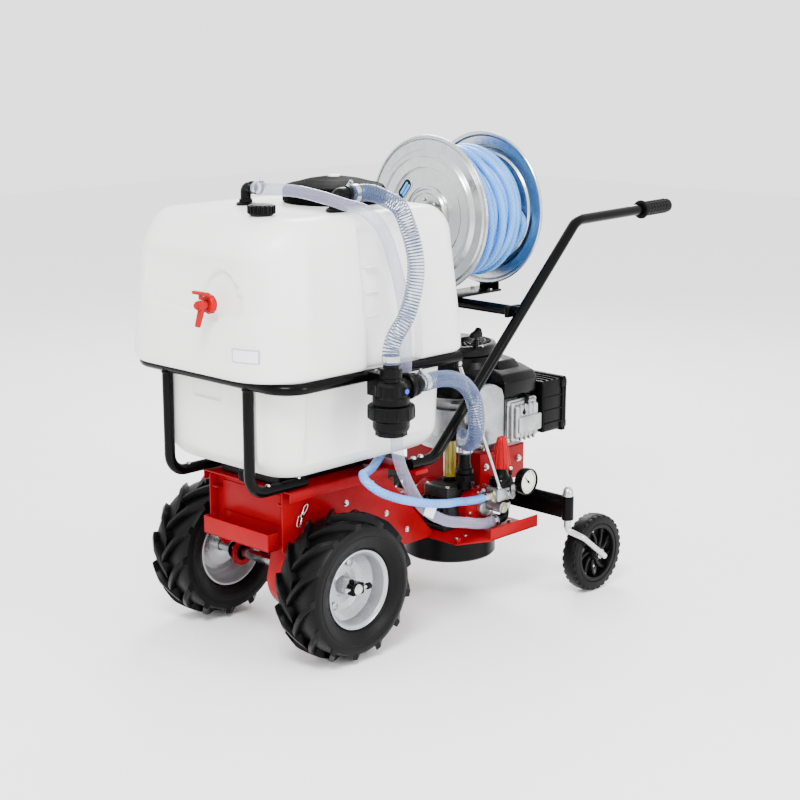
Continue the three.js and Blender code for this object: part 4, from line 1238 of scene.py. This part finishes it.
def add_pump_case():
    x, y = PUMP
    case = Piece()
    case.box(x - 70, x + 48, y - 46, y + 46, 177.6, 189, IRON, 2)
    body = [
        (0, 188), (48, 188), (52, 192), (52, 254), (48, 258), (40, 262), (40, 284), (36, 287.6), (0, 287.6),
    ]
    case.lathe(body, "z", (x, y, 0), IRON, 64, 1.5)
    case.box(x - 62, x + 40, y - 50, y + 30, 258, 287.6, IRON, 4)
    case.box(x - 46, x + 24, y - 40, y + 20, 284, 289, IRON, 1.5)
    for dx, dy in ((-54, -42), (-54, 22), (32, -42), (32, 22)):
        case.bolt((x + dx, y + dy, 287.4), "z", 5)
    for k in range(6):
        case.box(x - 64 + k * 0.1, x - 50, y - 40 + 14 * k, y - 36 + 14 * k, 192, 256, IRON, 1.2)
    case.lathe([(0, 40), (47, 40), (47, 86), (43, 91), (0, 91)], "y", (x + 8, y, 232), RED, 64, 2)
    for u, v in circle(6, 36, 0.3):
        case.bolt((x + 8 + u, y + 91, 232 + v), "y", 5)
    fitting = [
        (0, 280), (19, 280), (19, 300), (17, 301), (17, 318), (22, 320), (22, 330), (17, 333), (17, 341),
        (15, 343), (15, 360), (14, 367.6), (0, 367.6),
    ]
    case.lathe(fitting, "z", (x - 7, -140, 0), PLASTIC, 48, 0.8)
    case.lathe(solid(25, 301, 317), "z", (x - 7, -140, 0), PLASTIC, 6)
    case.rod((x + 30, -126, 287), (x + 30, -126, 304), 6, ZINC, 1)
    case.done("pump_body", "chassis", "dark_cast", "pump_crankcase")


def add_pump_head():
    x, y = PUMP
    head = Piece()
    dome = [(0, 53.6), (46, 53.6), (47, 55), (47, 78), (44, 84), (34, 90), (20, 93), (0, 93)]
    head.lathe(dome, (0, -1, 0), (x + 18, y, 232), RED, 64, 1.5)
    head.lathe(
        [(0, 90), (19, 90), (19, 102), (16, 105), (0, 105)], (0, -1, 0), (x + 18, y, 232), ALLOY, 40, 1
    )
    for u, v in circle(8, 39, 0.2):
        head.bolt((x + 18 + u, y - 86, 232 + v), (0, -1, 0), 4.5)
    head.box(x + 16, x + 59, -177, -139, 241, 279, RED, 5)
    for dx in (24, 50):
        head.bolt((x + dx, -158, 279), "z", 4.5)
    head.done("pump_dome", "chassis", "red_paint", "pump_head")


def add_oil_cup():
    x, y = PUMP
    glass = Piece()
    cup = [(0, 288.6), (16, 288.6), (16, 391), (15, 391.6), (13, 391.6), (13, 292), (0, 292)]
    glass.lathe(cup, "z", (x, y, 0), AMBER, 48, 0.6)
    glass.lathe([(16, 289), (18.5, 290), (18.5, 299), (16, 300), (16, 289)], "z", (x, y, 0), PLASTIC, 40)
    glass.done("oil_sight_cup", "chassis", "amber", "oil_cup")


def add_oil_cap():
    x, y = PUMP
    cap = Piece()
    cap.lathe(
        [(0, 392.5), (16.5, 392.5), (17, 394), (17, 411), (14, 414), (0, 414)], "z", (x, y, 0), PLASTIC, 48,
        1,
    )
    knurls(cap, PUMP, 17, 394, 412, 16, 1.5, PLASTIC)
    cap.done("oil_screw_cap", "oil_cap", "black_plastic", "oil_cup_cap")


def add_pump():
    add_pump_case()
    add_pump_head()
    add_oil_cup()
    add_oil_cap()


REGULATOR_Y, KNOB_X = -215, 542


def add_regulator_block():
    y, x = REGULATOR_Y, KNOB_X
    body = Piece()
    body.box(509, 575, -235, -193, 257, 291, ALLOY, 5)
    body.box(516, 568, -236, -230, 262, 286, ALLOY, 2.5)
    body.rod((500, y, 272), (584, y, 272), 13, ALLOY, 2)
    body.lathe(solid(15, 498, 508), "x", (0, y, 272), BRASS, 6)
    body.lathe([(0, 488), (9, 488), (10, 492), (12, 492), (12, 498), (0, 498)], "x", (0, y, 272), BRASS, 32)
    body.lathe(solid(15, 572, 583.6), "x", (0, y, 280), BRASS, 6)
    body.rod((530, -236, 240), (530, -191, 240), 14, ALLOY, 2)
    body.rod((560, -234, 266), (560, -239, 266), 9, ALLOY, 1)
    body.lathe(solid(11, 235, 239), (0, -1, 0), (530, 0, 240), BRASS, 6)
    body.box(520, 545, y, y + 22, 228, 270, ALLOY, 3)
    cap = [
        (0, 290), (25.5, 290), (25.5, 296), (23, 298), (23, 303), (25.5, 305), (25.5, 312), (20, 316),
        (16, 322), (13, 333.6), (0, 333.6),
    ]
    body.lathe(cap, "z", (x, y, 0), PLASTIC, 48, 0.8)
    body.box(x - 24, x + 24, y - 20, y + 20, 292, 309, PLASTIC, 3)
    for dx in (-17, 17):
        for dy in (-13, 13):
            body.bolt((x + dx, y + dy, 309), "z", 4)
    body.tube([(557, y, 262), (557, y, 206), (532, y, 206)], 11, PLASTIC, 14)
    body.lathe(
        [(0, -35), (11, -35), (14, -31), (14, -26), (12, -24), (0, -24)], "x", (557, y, 206), PLASTIC, 32
    )
    body.lathe(solid(15, 232, 246), "z", (557, y, 0), ALLOY, 6)
    body.done("regulator_block", "chassis", "cast_alloy", "regulator_body")


def add_knob():
    y, x = REGULATOR_Y, KNOB_X
    knob = Piece()
    bulb = [
        (0, 334.6), (17, 334.6), (20, 338), (20.6, 350), (18.5, 366), (14.5, 390), (11, 406), (7, 414),
        (0, 417),
    ]
    knob.lathe(bulb, "z", (x, y, 0), RED_PLASTIC, 48, 1.5)
    ridge_shape = [(19, 337), (20.6, 350), (18, 368), (14, 392), (8, 413)]
    for a in angles(6):
        ridge = [(x + r * math.cos(a), y + r * math.sin(a), h) for r, h in ridge_shape]
        knob.tube(smooth_path(ridge, 4), 2.3, RED_PLASTIC, sides=10)
    knob.done("red_knob", "knob", "red_plastic", "pressure_knob")


def add_bypass_lever():
    x = KNOB_X
    lever = Piece()
    lever.rod((x, -246, 276), (x, -235.6, 276), 7, ZINC)
    lever.plate(
        [(x - 2.6, 276), (x + 2.6, 276), (x + 2, 330), (x - 2, 330)], "y", -246, -243.4, PLASTIC, 0.8
    )
    lever.rod((x, -244.5, 322), (x, -244.5, 338), 4.6, PLASTIC, 2.2, 24)
    lever.lathe([(0, 0), (3, 0), (5.2, 3), (5.2, 6), (3, 9), (0, 9)], "z", (x, -244.5, 335.5), ZINC, 24)
    lever.done("bypass_handle", "bypass", "zinc", "bypass_lever")


def add_regulator():
    add_regulator_block()
    add_knob()
    add_bypass_lever()


GAUGE = (622, -226, 288)


def add_gauge():
    x, y, z = GAUGE
    case = Piece()
    bezel = [
        (0, 12), (28, 12), (31, 10), (33, 6), (34, -6), (33.6, -12), (32, -14), (30.4, -14), (30.4, -7.6),
        (0, -7.6),
    ]
    case.lathe(bezel, "y", GAUGE, GLOSSY, 72, 0.6)
    case.lathe(solid(30.2, -7.4, -8), "y", GAUGE, DIAL, 64)
    for k in range(31):
        a = -0.75 + math.radians(270) * k / 30
        long = 5 if k % 5 == 0 else 2.6
        c, s = math.sin(a), math.cos(a)
        start = (x + (27 - long) * c, y - 8.1, z + (27 - long) * s)
        case.rod(start, (x + 27 * c, y - 8.1, z + 27 * s), 0.5, BLACK_MARK_AND_SHADE, 0.1, 6)
    case.rod((584.4, -215, 280), (606, -215, 280), 7, BRASS)
    case.lathe(solid(10, 590, 600), "x", (0, -215, 280), BRASS, 6)
    case.done("gauge_body", "chassis", "gloss_black_plastic", "gauge_case")
    needle = Piece()
    a = -0.75
    tip, tail = 22, -8
    across = Vector((math.cos(a), -math.sin(a)))
    along = Vector((math.sin(a), math.cos(a)))
    ring = [along * tip, along * 2 + across * 1.6, along * tail + across * 1.1, along * tail - across * 1.1,
            along * 2 - across * 1.6]
    needle.plate([(x + p.x, z + p.y) for p in ring], "y", y - 10.6, y - 9.8, BLACK_MARK_AND_SHADE, 0)
    needle.rod((x, y - 11.4, z), (x, y - 8.6, z), 3.2, BLACK_MARK_AND_SHADE, 0.6, 20)
    needle.done("gauge_pointer", "needle", "gloss_black_plastic", "gauge_needle")


# ---------- belt drive ----------
ENGINE = (620, 0)
BELT_Z = 140


def add_belt_drive():
    px, py = PUMP
    ex, ey = ENGINE
    guard = Piece()
    turn = math.atan2(ey - py, ex - px)
    gap = 56
    steps = 96
    places, faces = [], []
    rim = [(40, 109), (110, 109), (115, 114), (115, 172), (112, 172), (112, 116), (108, 112), (40, 112)]
    for i in range(steps + 1):
        a = turn + math.radians(gap) + (2 * math.pi - 2 * math.radians(gap)) * i / steps
        for r, h in rim:
            places.append(at(px + r * math.cos(a), py + r * math.sin(a), h))
    n = len(rim)
    for i in range(steps):
        for k in range(n):
            faces.append((i * n + k, i * n + (k + 1) % n, (i + 1) * n + (k + 1) % n, (i + 1) * n + k))
    faces.append(tuple(range(n)))
    faces.append(tuple(steps * n + k for k in reversed(range(n))))
    guard.faces(places, faces, PLASTIC)
    guard.done("pulley_guard", "chassis", "black_plastic", "belt_guard")
    groove = lambda r, a, b: [
        (0, a), (r - 14, a), (r - 12, a + 3), (r, a + 3), (r, BELT_Z - 7), (r - 8, BELT_Z - 2),
        (r - 8, BELT_Z + 2), (r, BELT_Z + 7), (r, b - 3), (r - 12, b - 3), (r - 14, b), (0, b),
    ]
    big = Piece()
    big.lathe(groove(92, BELT_Z - 12, BELT_Z + 12), "z", (px, py, 0), IRON, 80)
    big.rod((px, py, BELT_Z - 20), (px, py, 176), 12, ZINC)
    big.bolt((px, py, BELT_Z - 16), (0, 0, -1), 9)
    big.done("pump_sheave", "pump_shaft", "dark_cast", "pump_pulley")
    small = Piece()
    small.lathe(groove(36, BELT_Z - 12, BELT_Z + 12), "z", (ex, ey, 0), IRON, 64)
    small.rod((ex, ey, BELT_Z - 8), (ex, ey, ENGINE_BASE + 4), 12.4, ZINC)
    small.bolt((ex, ey, BELT_Z - 12), (0, 0, -1), 8)
    small.done("engine_sheave", "crankshaft", "dark_cast", "engine_pulley")
    belt = Piece()
    distance = math.hypot(ex - px, ey - py)
    big_r, small_r = 89, 33.4
    wrap = math.acos((big_r - small_r) / distance)
    loop = [(distance + small_r * math.cos(a), small_r * math.sin(a)) for a in
            [-wrap + 2 * wrap * k / 16 for k in range(17)]]
    loop += [(big_r * math.cos(a), big_r * math.sin(a)) for a in
             [wrap + (2 * math.pi - 2 * wrap) * k / 48 for k in range(49)]]
    section = [(0.2, -2.5), (4.5, -4), (4.8, 4), (0.2, 2.5)]
    places, faces = [], []
    centre = Vector((distance * 0.3, 0))
    for i, q in enumerate(loop):
        q = Vector(q)
        before, after = Vector(loop[i - 1]), Vector(loop[(i + 1) % len(loop)])
        ahead = (after - before).normalized()
        out = Vector((ahead.y, -ahead.x))
        if out.dot(q - centre) < 0:
            out = -out
        for d, h in section:
            w = q + out * d
            places.append(at(px + w.x * math.cos(turn) - w.y * math.sin(turn),
                             py + w.x * math.sin(turn) + w.y * math.cos(turn), BELT_Z + h))
    n = len(loop)
    for i in range(n):
        for k in range(4):
            faces.append(
                (i * 4 + k, i * 4 + (k + 1) % 4, (i + 1) % n * 4 + (k + 1) % 4, (i + 1) % n * 4 + k),
            )
    belt.faces(places, faces, RUBBER)
    belt.done("v_belt", "chassis", "rubber", "drive_belt")


# ---------- engine ----------
def add_crankcase():
    x, y = ENGINE
    base = ENGINE_BASE
    block = Piece()
    flange = [
        (20, base), (98, base), (98, base + 13), (86, base + 20), (82, base + 30), (82, base + 98),
        (76, 452), (20, 452), (20, base),
    ]
    block.lathe(flange, "z", (x, y, 0), ALLOY, 64, 2)
    for u, v in circle(8, 90, 0.2):
        block.bolt((x + u, v, base + 13), "z", 5)
    block.box(x + 10, x + 94, -96, -40, 372, 476, ALLOY, 6)
    for k in range(7):
        block.box(x + 2, x + 102, -95.6, -60, 380 + 14 * k, 383 + 14 * k, ALLOY, 1.2)
    block.rod((x + 60, 60, base + 20), (x + 82, 82, base + 60), 13, PLASTIC, 3)
    block.done("crankcase", "chassis", "cast_alloy", "engine_block")


def add_cylinder_head():
    x, _ = ENGINE
    head = Piece()
    hx0, hx1 = x + 2, x + 102
    for k in range(6):
        head.box(hx0 - 8, hx1 + 2, -150 + 7 * k, -147 + 7 * k, 370, 480, ALLOY, 1)
    head.box(hx0 + 4, hx1 - 10, -166, -98, 380, 470, ALLOY, 5)
    head.box(hx0 - 6, hx1 + 2, -170, -160, 376, 482, ALLOY, 3)
    head.box(hx0, hx1 - 4, -180, -168, 378, 478, ALLOY, 7, 4)
    head.box(hx0 + 6, hx1 - 8, -190, -176, 386, 470, ALLOY, 8, 5)
    head.box(hx0 + 12, hx1 - 2, -195.6, -186, 400, 442, ALLOY, 4, 4)
    for k in range(4):
        head.box(hx0 + 18 + 17 * k, hx0 + 24 + 17 * k, -193, -184, 444, 474, ALLOY, 2.4, 3)
        head.box(hx0 + 20 + 17 * k, hx0 + 25 + 17 * k, -192, -184, 380, 398, ALLOY, 2, 3)
    for dx, dz in ((-3, 384), (98, 384), (-3, 474), (98, 474)):
        head.bolt((hx0 + dx, -169, dz), (0, -1, 0), 5)
    head.rod((hx0 + 70, -150, 470), (hx0 + 70, -150, 492), 9, PLASTIC, 2)
    head.tube([(hx0 + 70, -150, 486), (hx0 + 64, -178, 484), (hx0 + 40, -182, 462)], 5, PLASTIC, 14, 16)
    head.lathe(
        [(0, 0), (8, 0), (8, 20), (6, 24), (0, 24)], (-0.4, -0.2, -0.9), (hx0 + 42, -182, 468), PLASTIC, 24,
        1,
    )
    head.done("engine_head", "chassis", "cast_alloy", "cylinder_head")


def add_muffler():
    x, _ = ENGINE
    muffler = Piece()
    mx0, mx1 = x - 142, x - 28
    face = [
        (mx0 + 36, 388), (mx1 - 12, 388), (mx1, 402), (mx1, 500), (mx1 - 8, 522), (mx1 - 32, 535),
        (mx0 + 6, 535), (mx0, 528), (mx0, 442), (mx0 + 36, 442),
    ]
    smooth_face = rounded(face, 12, 5)
    muffler.plate(smooth_face, "y", -179, -168, ALLOY, 3)
    pressed = [(0.88 * (px - mx0 - 60) + mx0 + 60, 0.9 * (pz - 466) + 466) for px, pz in smooth_face]
    muffler.plate(pressed, "y", -180, -176, ALLOY, 1.6)
    muffler.plate(smooth_face, "y", -168, -150, ALLOY, 1)
    muffler.box(mx0 + 38, mx1 - 6, -152, -107, 394, 528, IRON, 16, 5)
    for k in range(4):
        muffler.box(mx0 + 58 + 11 * k, mx0 + 61 + 11 * k, -180.2, -176, 410, 500, ALLOY, 1.4)
    muffler.rod((mx0 + 60, -130, 396), (mx0 + 60, -130, 386), 11, ZINC, 1)
    for z in (404, 500):
        muffler.bolt((mx1, -148, z), "x", 4)
    muffler.done("muffler_guard", "chassis", "cast_alloy", "muffler")


def add_air_cleaner():
    x, _ = ENGINE
    intake = Piece()
    ax0, ax1 = x + 121, x + 218
    intake.box(ax0, ax1 - 18, -182, -80, 380, 514, PLASTIC, 8)
    intake.box(ax1 - 24, ax1 - 18, -186, -76, 376, 518, PLASTIC, 2.5)
    intake.box(ax1 - 16, ax1 - 10, -186, -76, 376, 518, PLASTIC, 2.5)
    intake.box(ax1 - 14, ax1, -182, -80, 380, 514, PLASTIC, 6)
    for k in range(3):
        intake.box(ax0 + 6, ax1 - 22, -185, -180, 402 + 34 * k, 404.5 + 34 * k, PLASTIC, 1)
        intake.box(ax0 + 12 + 20 * k, ax0 + 15 + 20 * k, -178, -84, 512, 517.4, PLASTIC, 1.2)
    for z in (394, 500):
        intake.box(ax1 - 28, ax1 - 6, -185.8, -178, z - 9, z + 9, PLASTIC, 2)
        intake.box(ax1 - 28, ax1 - 6, -84, -76.4, z - 9, z + 9, PLASTIC, 2)
    intake.box(ax0 - 8, ax0 + 4, -150, -110, 420, 470, PLASTIC, 4)
    intake.done("air_cleaner", "chassis", "black_plastic", "air_filter_box")


def add_shroud():
    x, y = ENGINE
    shroud = Piece()
    drum = [
        (60, 485), (106, 485), (111, 489), (112, 496), (112, 560), (107, 576), (100, 586), (92, 588),
        (60, 588), (60, 485),
    ]
    shroud.lathe(drum, "z", (x, y, 0), GLOSSY, 96, 2)
    hood = [(-170, 486), (-172, 530), (-162, 548), (-120, 560), (-30, 560), (-30, 486)]
    hood = rounded(hood, 14, 6)
    shroud.plate(hood, "x", x - 18, x + 110, GLOSSY, 10)
    shroud.box(x - 50, x + 60, -96, -20, 486, 559, GLOSSY, 20, 6)
    crest = [(-150, 540), (-120, 574), (-60, 582), (-30, 582), (-30, 540)]
    shroud.plate(rounded(crest, 12, 5), "x", x + 6, x + 84, GLOSSY, 7)
    shroud.box(x - 64, x + 132, 22, 166, 472, 584, GLOSSY, 22, 6)
    shroud.box(x - 60, x + 128, 26, 165, 520, 524, GLOSSY, 1.8)
    for dx in (-8, 98):
        shroud.bolt((x + dx, -112, 559), "z", 5)
    shroud.done("fan_shroud", "chassis", "gloss_black_plastic", "blower_housing")


def add_recoil():
    x, y = ENGINE
    recoil = Piece()
    cover = [
        (0, 588.6), (98, 588.6), (98, 604), (94, 612), (84, 615), (82, 610), (40, 610), (38, 620),
        (30, 628), (0, 630),
    ]
    recoil.lathe(cover, "z", (x, y, 0), GLOSSY, 80, 1.5)
    for a in angles(30):
        c, s = math.cos(a), math.sin(a)
        recoil.rod((x + 37 * c, 37 * s, 617), (x + 84 * c, 84 * s, 611), 2.2, GLOSSY, 0.6, 10)
    for r in (52, 68):
        whole_turn = [2 * math.pi * k / 48 for k in range(49)]
        ring = [(x + r * math.cos(t), r * math.sin(t), 614.5) for t in whole_turn]
        recoil.tube(ring, 1.8, GLOSSY, sides=8)
    for u, v in circle(3, 89, 0.4):
        recoil.bolt((x + u, v, 611), "z", 4.5)
    recoil.box(x - 34, x - 22, -90, -76, 600, 632, GLOSSY, 4)
    recoil.tube([(x - 28, -83, 630), (x - 28, -83, 640)], 2.4, RUBBER, sides=12)
    handle = [(-46, 636), (-10, 636), (-8, 642), (-12, 656), (-18, 661.6), (-28, 654), (-44, 648)]
    recoil.plate([(x + p.x, p.y) for p in fillet(handle, 4, 4, True)], "y", -90, -76, PLASTIC, 3)
    recoil.done("starter_cover", "chassis", "gloss_black_plastic", "recoil_cover")


def add_fuel_cap():
    cap = Piece()
    fx, fy, _ = from_node("fuel_cap")
    cap.lathe(
        [(0, 586.5), (22, 586.5), (24, 589), (24, 606), (20, 609.6), (0, 610)], "z", (fx, fy, 0), PLASTIC,
        48, 1,
    )
    knurls(cap, (fx, fy), 24, 589, 607, 18, 1.8, PLASTIC)
    cap.done("fuel_screw_cap", "fuel_lid", "black_plastic", "fuel_cap")


def add_engine():
    add_crankcase()
    add_cylinder_head()
    add_muffler()
    add_air_cleaner()
    add_shroud()
    add_recoil()
    add_fuel_cap()


# ---------- handlebar and reel ----------
BAR_Y, BAR_R, GRIP_START = 225, 13, 1068


def add_handlebar():
    bars = Piece()
    for _, s in SIDES:
        y = s * BAR_Y
        bars.tube([(205, y, 411), (288, y, 411), (805, y, 922), (1182, y, 929)], BAR_R, BLACK, 55, 32)
        # A thin white strip on top of each tube before the grip: a painted highlight.
        bars.box(1020, 1052, y - 3, y + 3, 939, 940.4, LABEL_AND_HIGHLIGHT, 0.5, 1)
        for x in (218, 242):
            bars.bolt((x, y, 411 + BAR_R - 1), "z", 6)
    bars.rod((592, -BAR_Y, 718), (592, BAR_Y, 718), 13, BLACK, 1, 32)
    for _, s in SIDES:
        bars.box(566, 618, *span(s, 208, 196), 704, 732, BLACK, 3)
    bars.done("handle_tube", "chassis", "black_paint", "handlebar")
    tilt = math.atan2(929 - 922, 1182 - 805)
    for side, s in SIDES:
        grip = Piece()
        start = Vector((GRIP_START, s * BAR_Y, 926.9))
        along = Vector((math.cos(tilt), 0, math.sin(tilt)))
        sleeve = [(13.4, 0.5), (22, 0.5), (24, 3), (24, 7), (21.5, 9), (17.5, 11)]
        for k in range(7):
            h = 20 + 13 * k
            sleeve += [(17.6, h - 5), (18.6, h), (17.6, h + 5)]
        sleeve += [(17.8, 112), (17.5, 119), (14, 122), (0, 122), (0, 119.4), (13.4, 119.4), (13.4, 0.5)]
        grip.lathe(sleeve, along, start, RUBBER, 64, 0.8)
        for a in angles(14):
            off = Vector((0, math.cos(a), math.sin(a))) * 17.9
            grip.rod(start + along * 16 + off, start + along * 112 + off, 1.3, RUBBER, 0.5, 8)
        grip.done(f"handle_grip_{side}", "chassis", "rubber", f"grip_{side}")


REEL_Z, REEL_FRONT, REEL_REAR, REEL_R = 944, 498, 719, 192


def add_slot(drum):
    """The long hole in the front flange, tangent to the rim: a black plate painted as the shade inside the
    hole, with turns of the blue hose behind it.
    """
    spot = Vector((74, 57))
    run = Vector((-spot.y, spot.x)).normalized()
    out = spot.normalized()
    # The hole is a black plate: painted shade where the slot opens into the reel.
    frame_and_shaded_hole = ((30, 15, REEL_FRONT + 2.6, GALVANISED), (27, 12.5, REEL_FRONT + 2.2, BLACK_MARK_AND_SHADE))
    for length, width, x, material in frame_and_shaded_hole:
        outline = []
        for a in angles(28):
            end = run * (length - width) * (1 if math.sin(a) > 0 else -1)
            p = spot + end + (out * math.cos(a) + run * math.sin(a)) * width
            outline.append((p.x, REEL_Z + p.y))
        drum.plate(outline, "x", x, REEL_FRONT + 6, material, 0.3)
    for across in (-6.5, 2.5):
        a = spot + out * across - run * 19
        b = spot + out * across + run * 19
        x = REEL_FRONT + 4.6
        drum.rod((x, a.x, REEL_Z + a.y), (x, b.x, REEL_Z + b.y), 4.4, BLUE_HOSE, 2, 20)


def flange_profile(x, out):
    """A pressed sheet flange: rolled rim, outer band, raised ring, shallow ring and a sunk disc."""
    sheet = 3.6
    r = REEL_R
    outer = [
        (r, -8), (r - 3, -10), (r - 9, -9), (r - 13, -3), (r - 34, -2), (r - 38, 3), (r - 42, 7.5),
        (r - 50, 7.5), (r - 54, 3), (r - 76, 2), (r - 80, -3), (r - 83, -4), (62, -4), (58, 0), (54, 0),
        (50, -4), (13, -4),
    ]
    front = [(q, x + out * h) for q, h in outer]
    back = [(q, x + out * (h - sheet)) for q, h in reversed(outer)]
    return front + back + [front[0]]


def add_reel_stand():
    frame_piece = Piece()
    base = 731.4
    frame_piece.box(478, 739, -40, 40, base, base + 6, BLACK, 1.5)
    upright = [(-32, base), (32, base), (28, 950), (18, 968), (-18, 968), (-28, 950)]
    for low, high, out in ((478, 483, -1), (734, 739, 1)):
        frame_piece.plate(upright, "x", low, high, BLACK, 1)
        frame_piece.bolt((low if out < 0 else high, 0, 750), (out, 0, 0), 5)
    frame_piece.rod((464, 0, REEL_Z), (747, 0, REEL_Z), 12, ZINC, 1.5, 40)
    for x in (510, 706):
        for y in (-30, 30):
            frame_piece.bolt((x, y, base + 6), "z", 5)
    frame_piece.done("reel_stand", "chassis", "black_paint", "reel_frame")


def add_drum():
    drum = Piece()
    for x, out in ((REEL_FRONT, -1), (REEL_REAR, 1)):
        drum.lathe(flange_profile(x, out), "x", (0, 0, REEL_Z), GALVANISED, 120, 0.8)
    for x, out in ((REEL_FRONT, -1), (REEL_REAR, 1)):
        ring = [(x + out * -8, REEL_R * math.cos(t), REEL_Z + REEL_R * math.sin(t)) for t in
                [2 * math.pi * k / 96 for k in range(97)]]
        bead = [(p[0], p[1] * 0.984, REEL_Z + (p[2] - REEL_Z) * 0.984) for p in ring]
        drum.tube(bead, 2.6, GALVANISED, sides=10)
        for u, v in circle(6, 36, 0.26):
            drum.bolt((x + out * -1, u, REEL_Z + v), (out, 0, 0), 4)
        drum.lathe(
            [(12.6, 0), (22, 0), (22, 9), (12.6, 9)], (out, 0, 0), (x - out * 2, 0, REEL_Z), ZINC, 40, 0.8
        )
    add_slot(drum)
    core = [(70, REEL_FRONT), (70, REEL_REAR), (67, REEL_REAR), (67, REEL_FRONT), (70, REEL_FRONT)]
    drum.lathe(core, "x", (0, 0, REEL_Z), GALVANISED, 80)
    drum.done("reel_shell", "reel", "galvanised", "reel_drum")


def add_winding():
    wound = Piece()
    wound.tube(wound_hose(), DELIVERY_D / 2, BLUE_HOSE, sides=12)
    wound.done("wound_hose", "reel", "blue_hose", "hose_winding")


def add_swivel():
    swivel = Piece()
    swivel.lathe([(12.4, 448), (19, 448), (20, 450), (20, 474), (18, 476), (12.4, 476), (12.4, 448)], "x",
                 (0, 0, REEL_Z), BRASS, 40, 1)
    swivel.lathe([(0, 904), (8, 904), (10, 907), (10, 913), (0, 913)], "z", (462, 0, 0), BRASS, 32)
    swivel.lathe(solid(13, 913, 927), "z", (462, 0, 0), BRASS, 6)
    swivel.done("reel_inlet", "chassis", "zinc", "reel_swivel")


def add_reel():
    add_reel_stand()
    add_drum()
    add_winding()
    add_swivel()


def wound_hose():
    """The spray hose's turns: tight layers on the drum under loose ones that wander from side to side."""
    path = []
    left, right = REEL_FRONT + 18, REEL_REAR - 17
    layers = (
        (81, 9.4, 1, 0.0), (101, 9.0, -1, 0.4), (121, 8.8, 1, 0.8), (139, 8.2, -1, 1.4), (154, 5.2, 1, 3.2),
    )
    for layer, (r, turns, way, wander) in enumerate(layers):
        count = int(turns * 30)
        stop = right - 34 if layer == 4 else right
        for k in range(count):
            t = k / (count - 1)
            a = 2 * math.pi * turns * t + layer * 1.1
            across = t if way > 0 else 1 - t
            drift = 3.4 * wander * math.sin(a + 1.3 + 5 * t) + 1.4 * wander * math.sin(2.3 * a)
            x = left + (stop - left) * across + drift * min(1.0, 4 * t, 4 * (1 - t))
            bulge = min(r + 0.9 * wander * math.sin(1.7 * a + layer), REEL_R - 36)
            path.append(
                Vector((min(max(x, left), right), bulge * math.cos(a), REEL_Z + bulge * math.sin(a)))
            )
    return smooth_path(path[::2], 14.0)


add_camera()
add_hoses()
add_studio()
add_axle()
for side_name, side_sign in SIDES:
    add_wheel(side_name, side_sign)
    add_caster(side_name, side_sign)
add_caster_bar()
add_tank()
add_tank_caps()
add_elbows()
add_tap()
add_tank_frame()
add_filter()
add_chassis()
add_pump()
add_regulator()
add_gauge()
add_belt_drive()
add_engine()
add_handlebar()
add_reel()
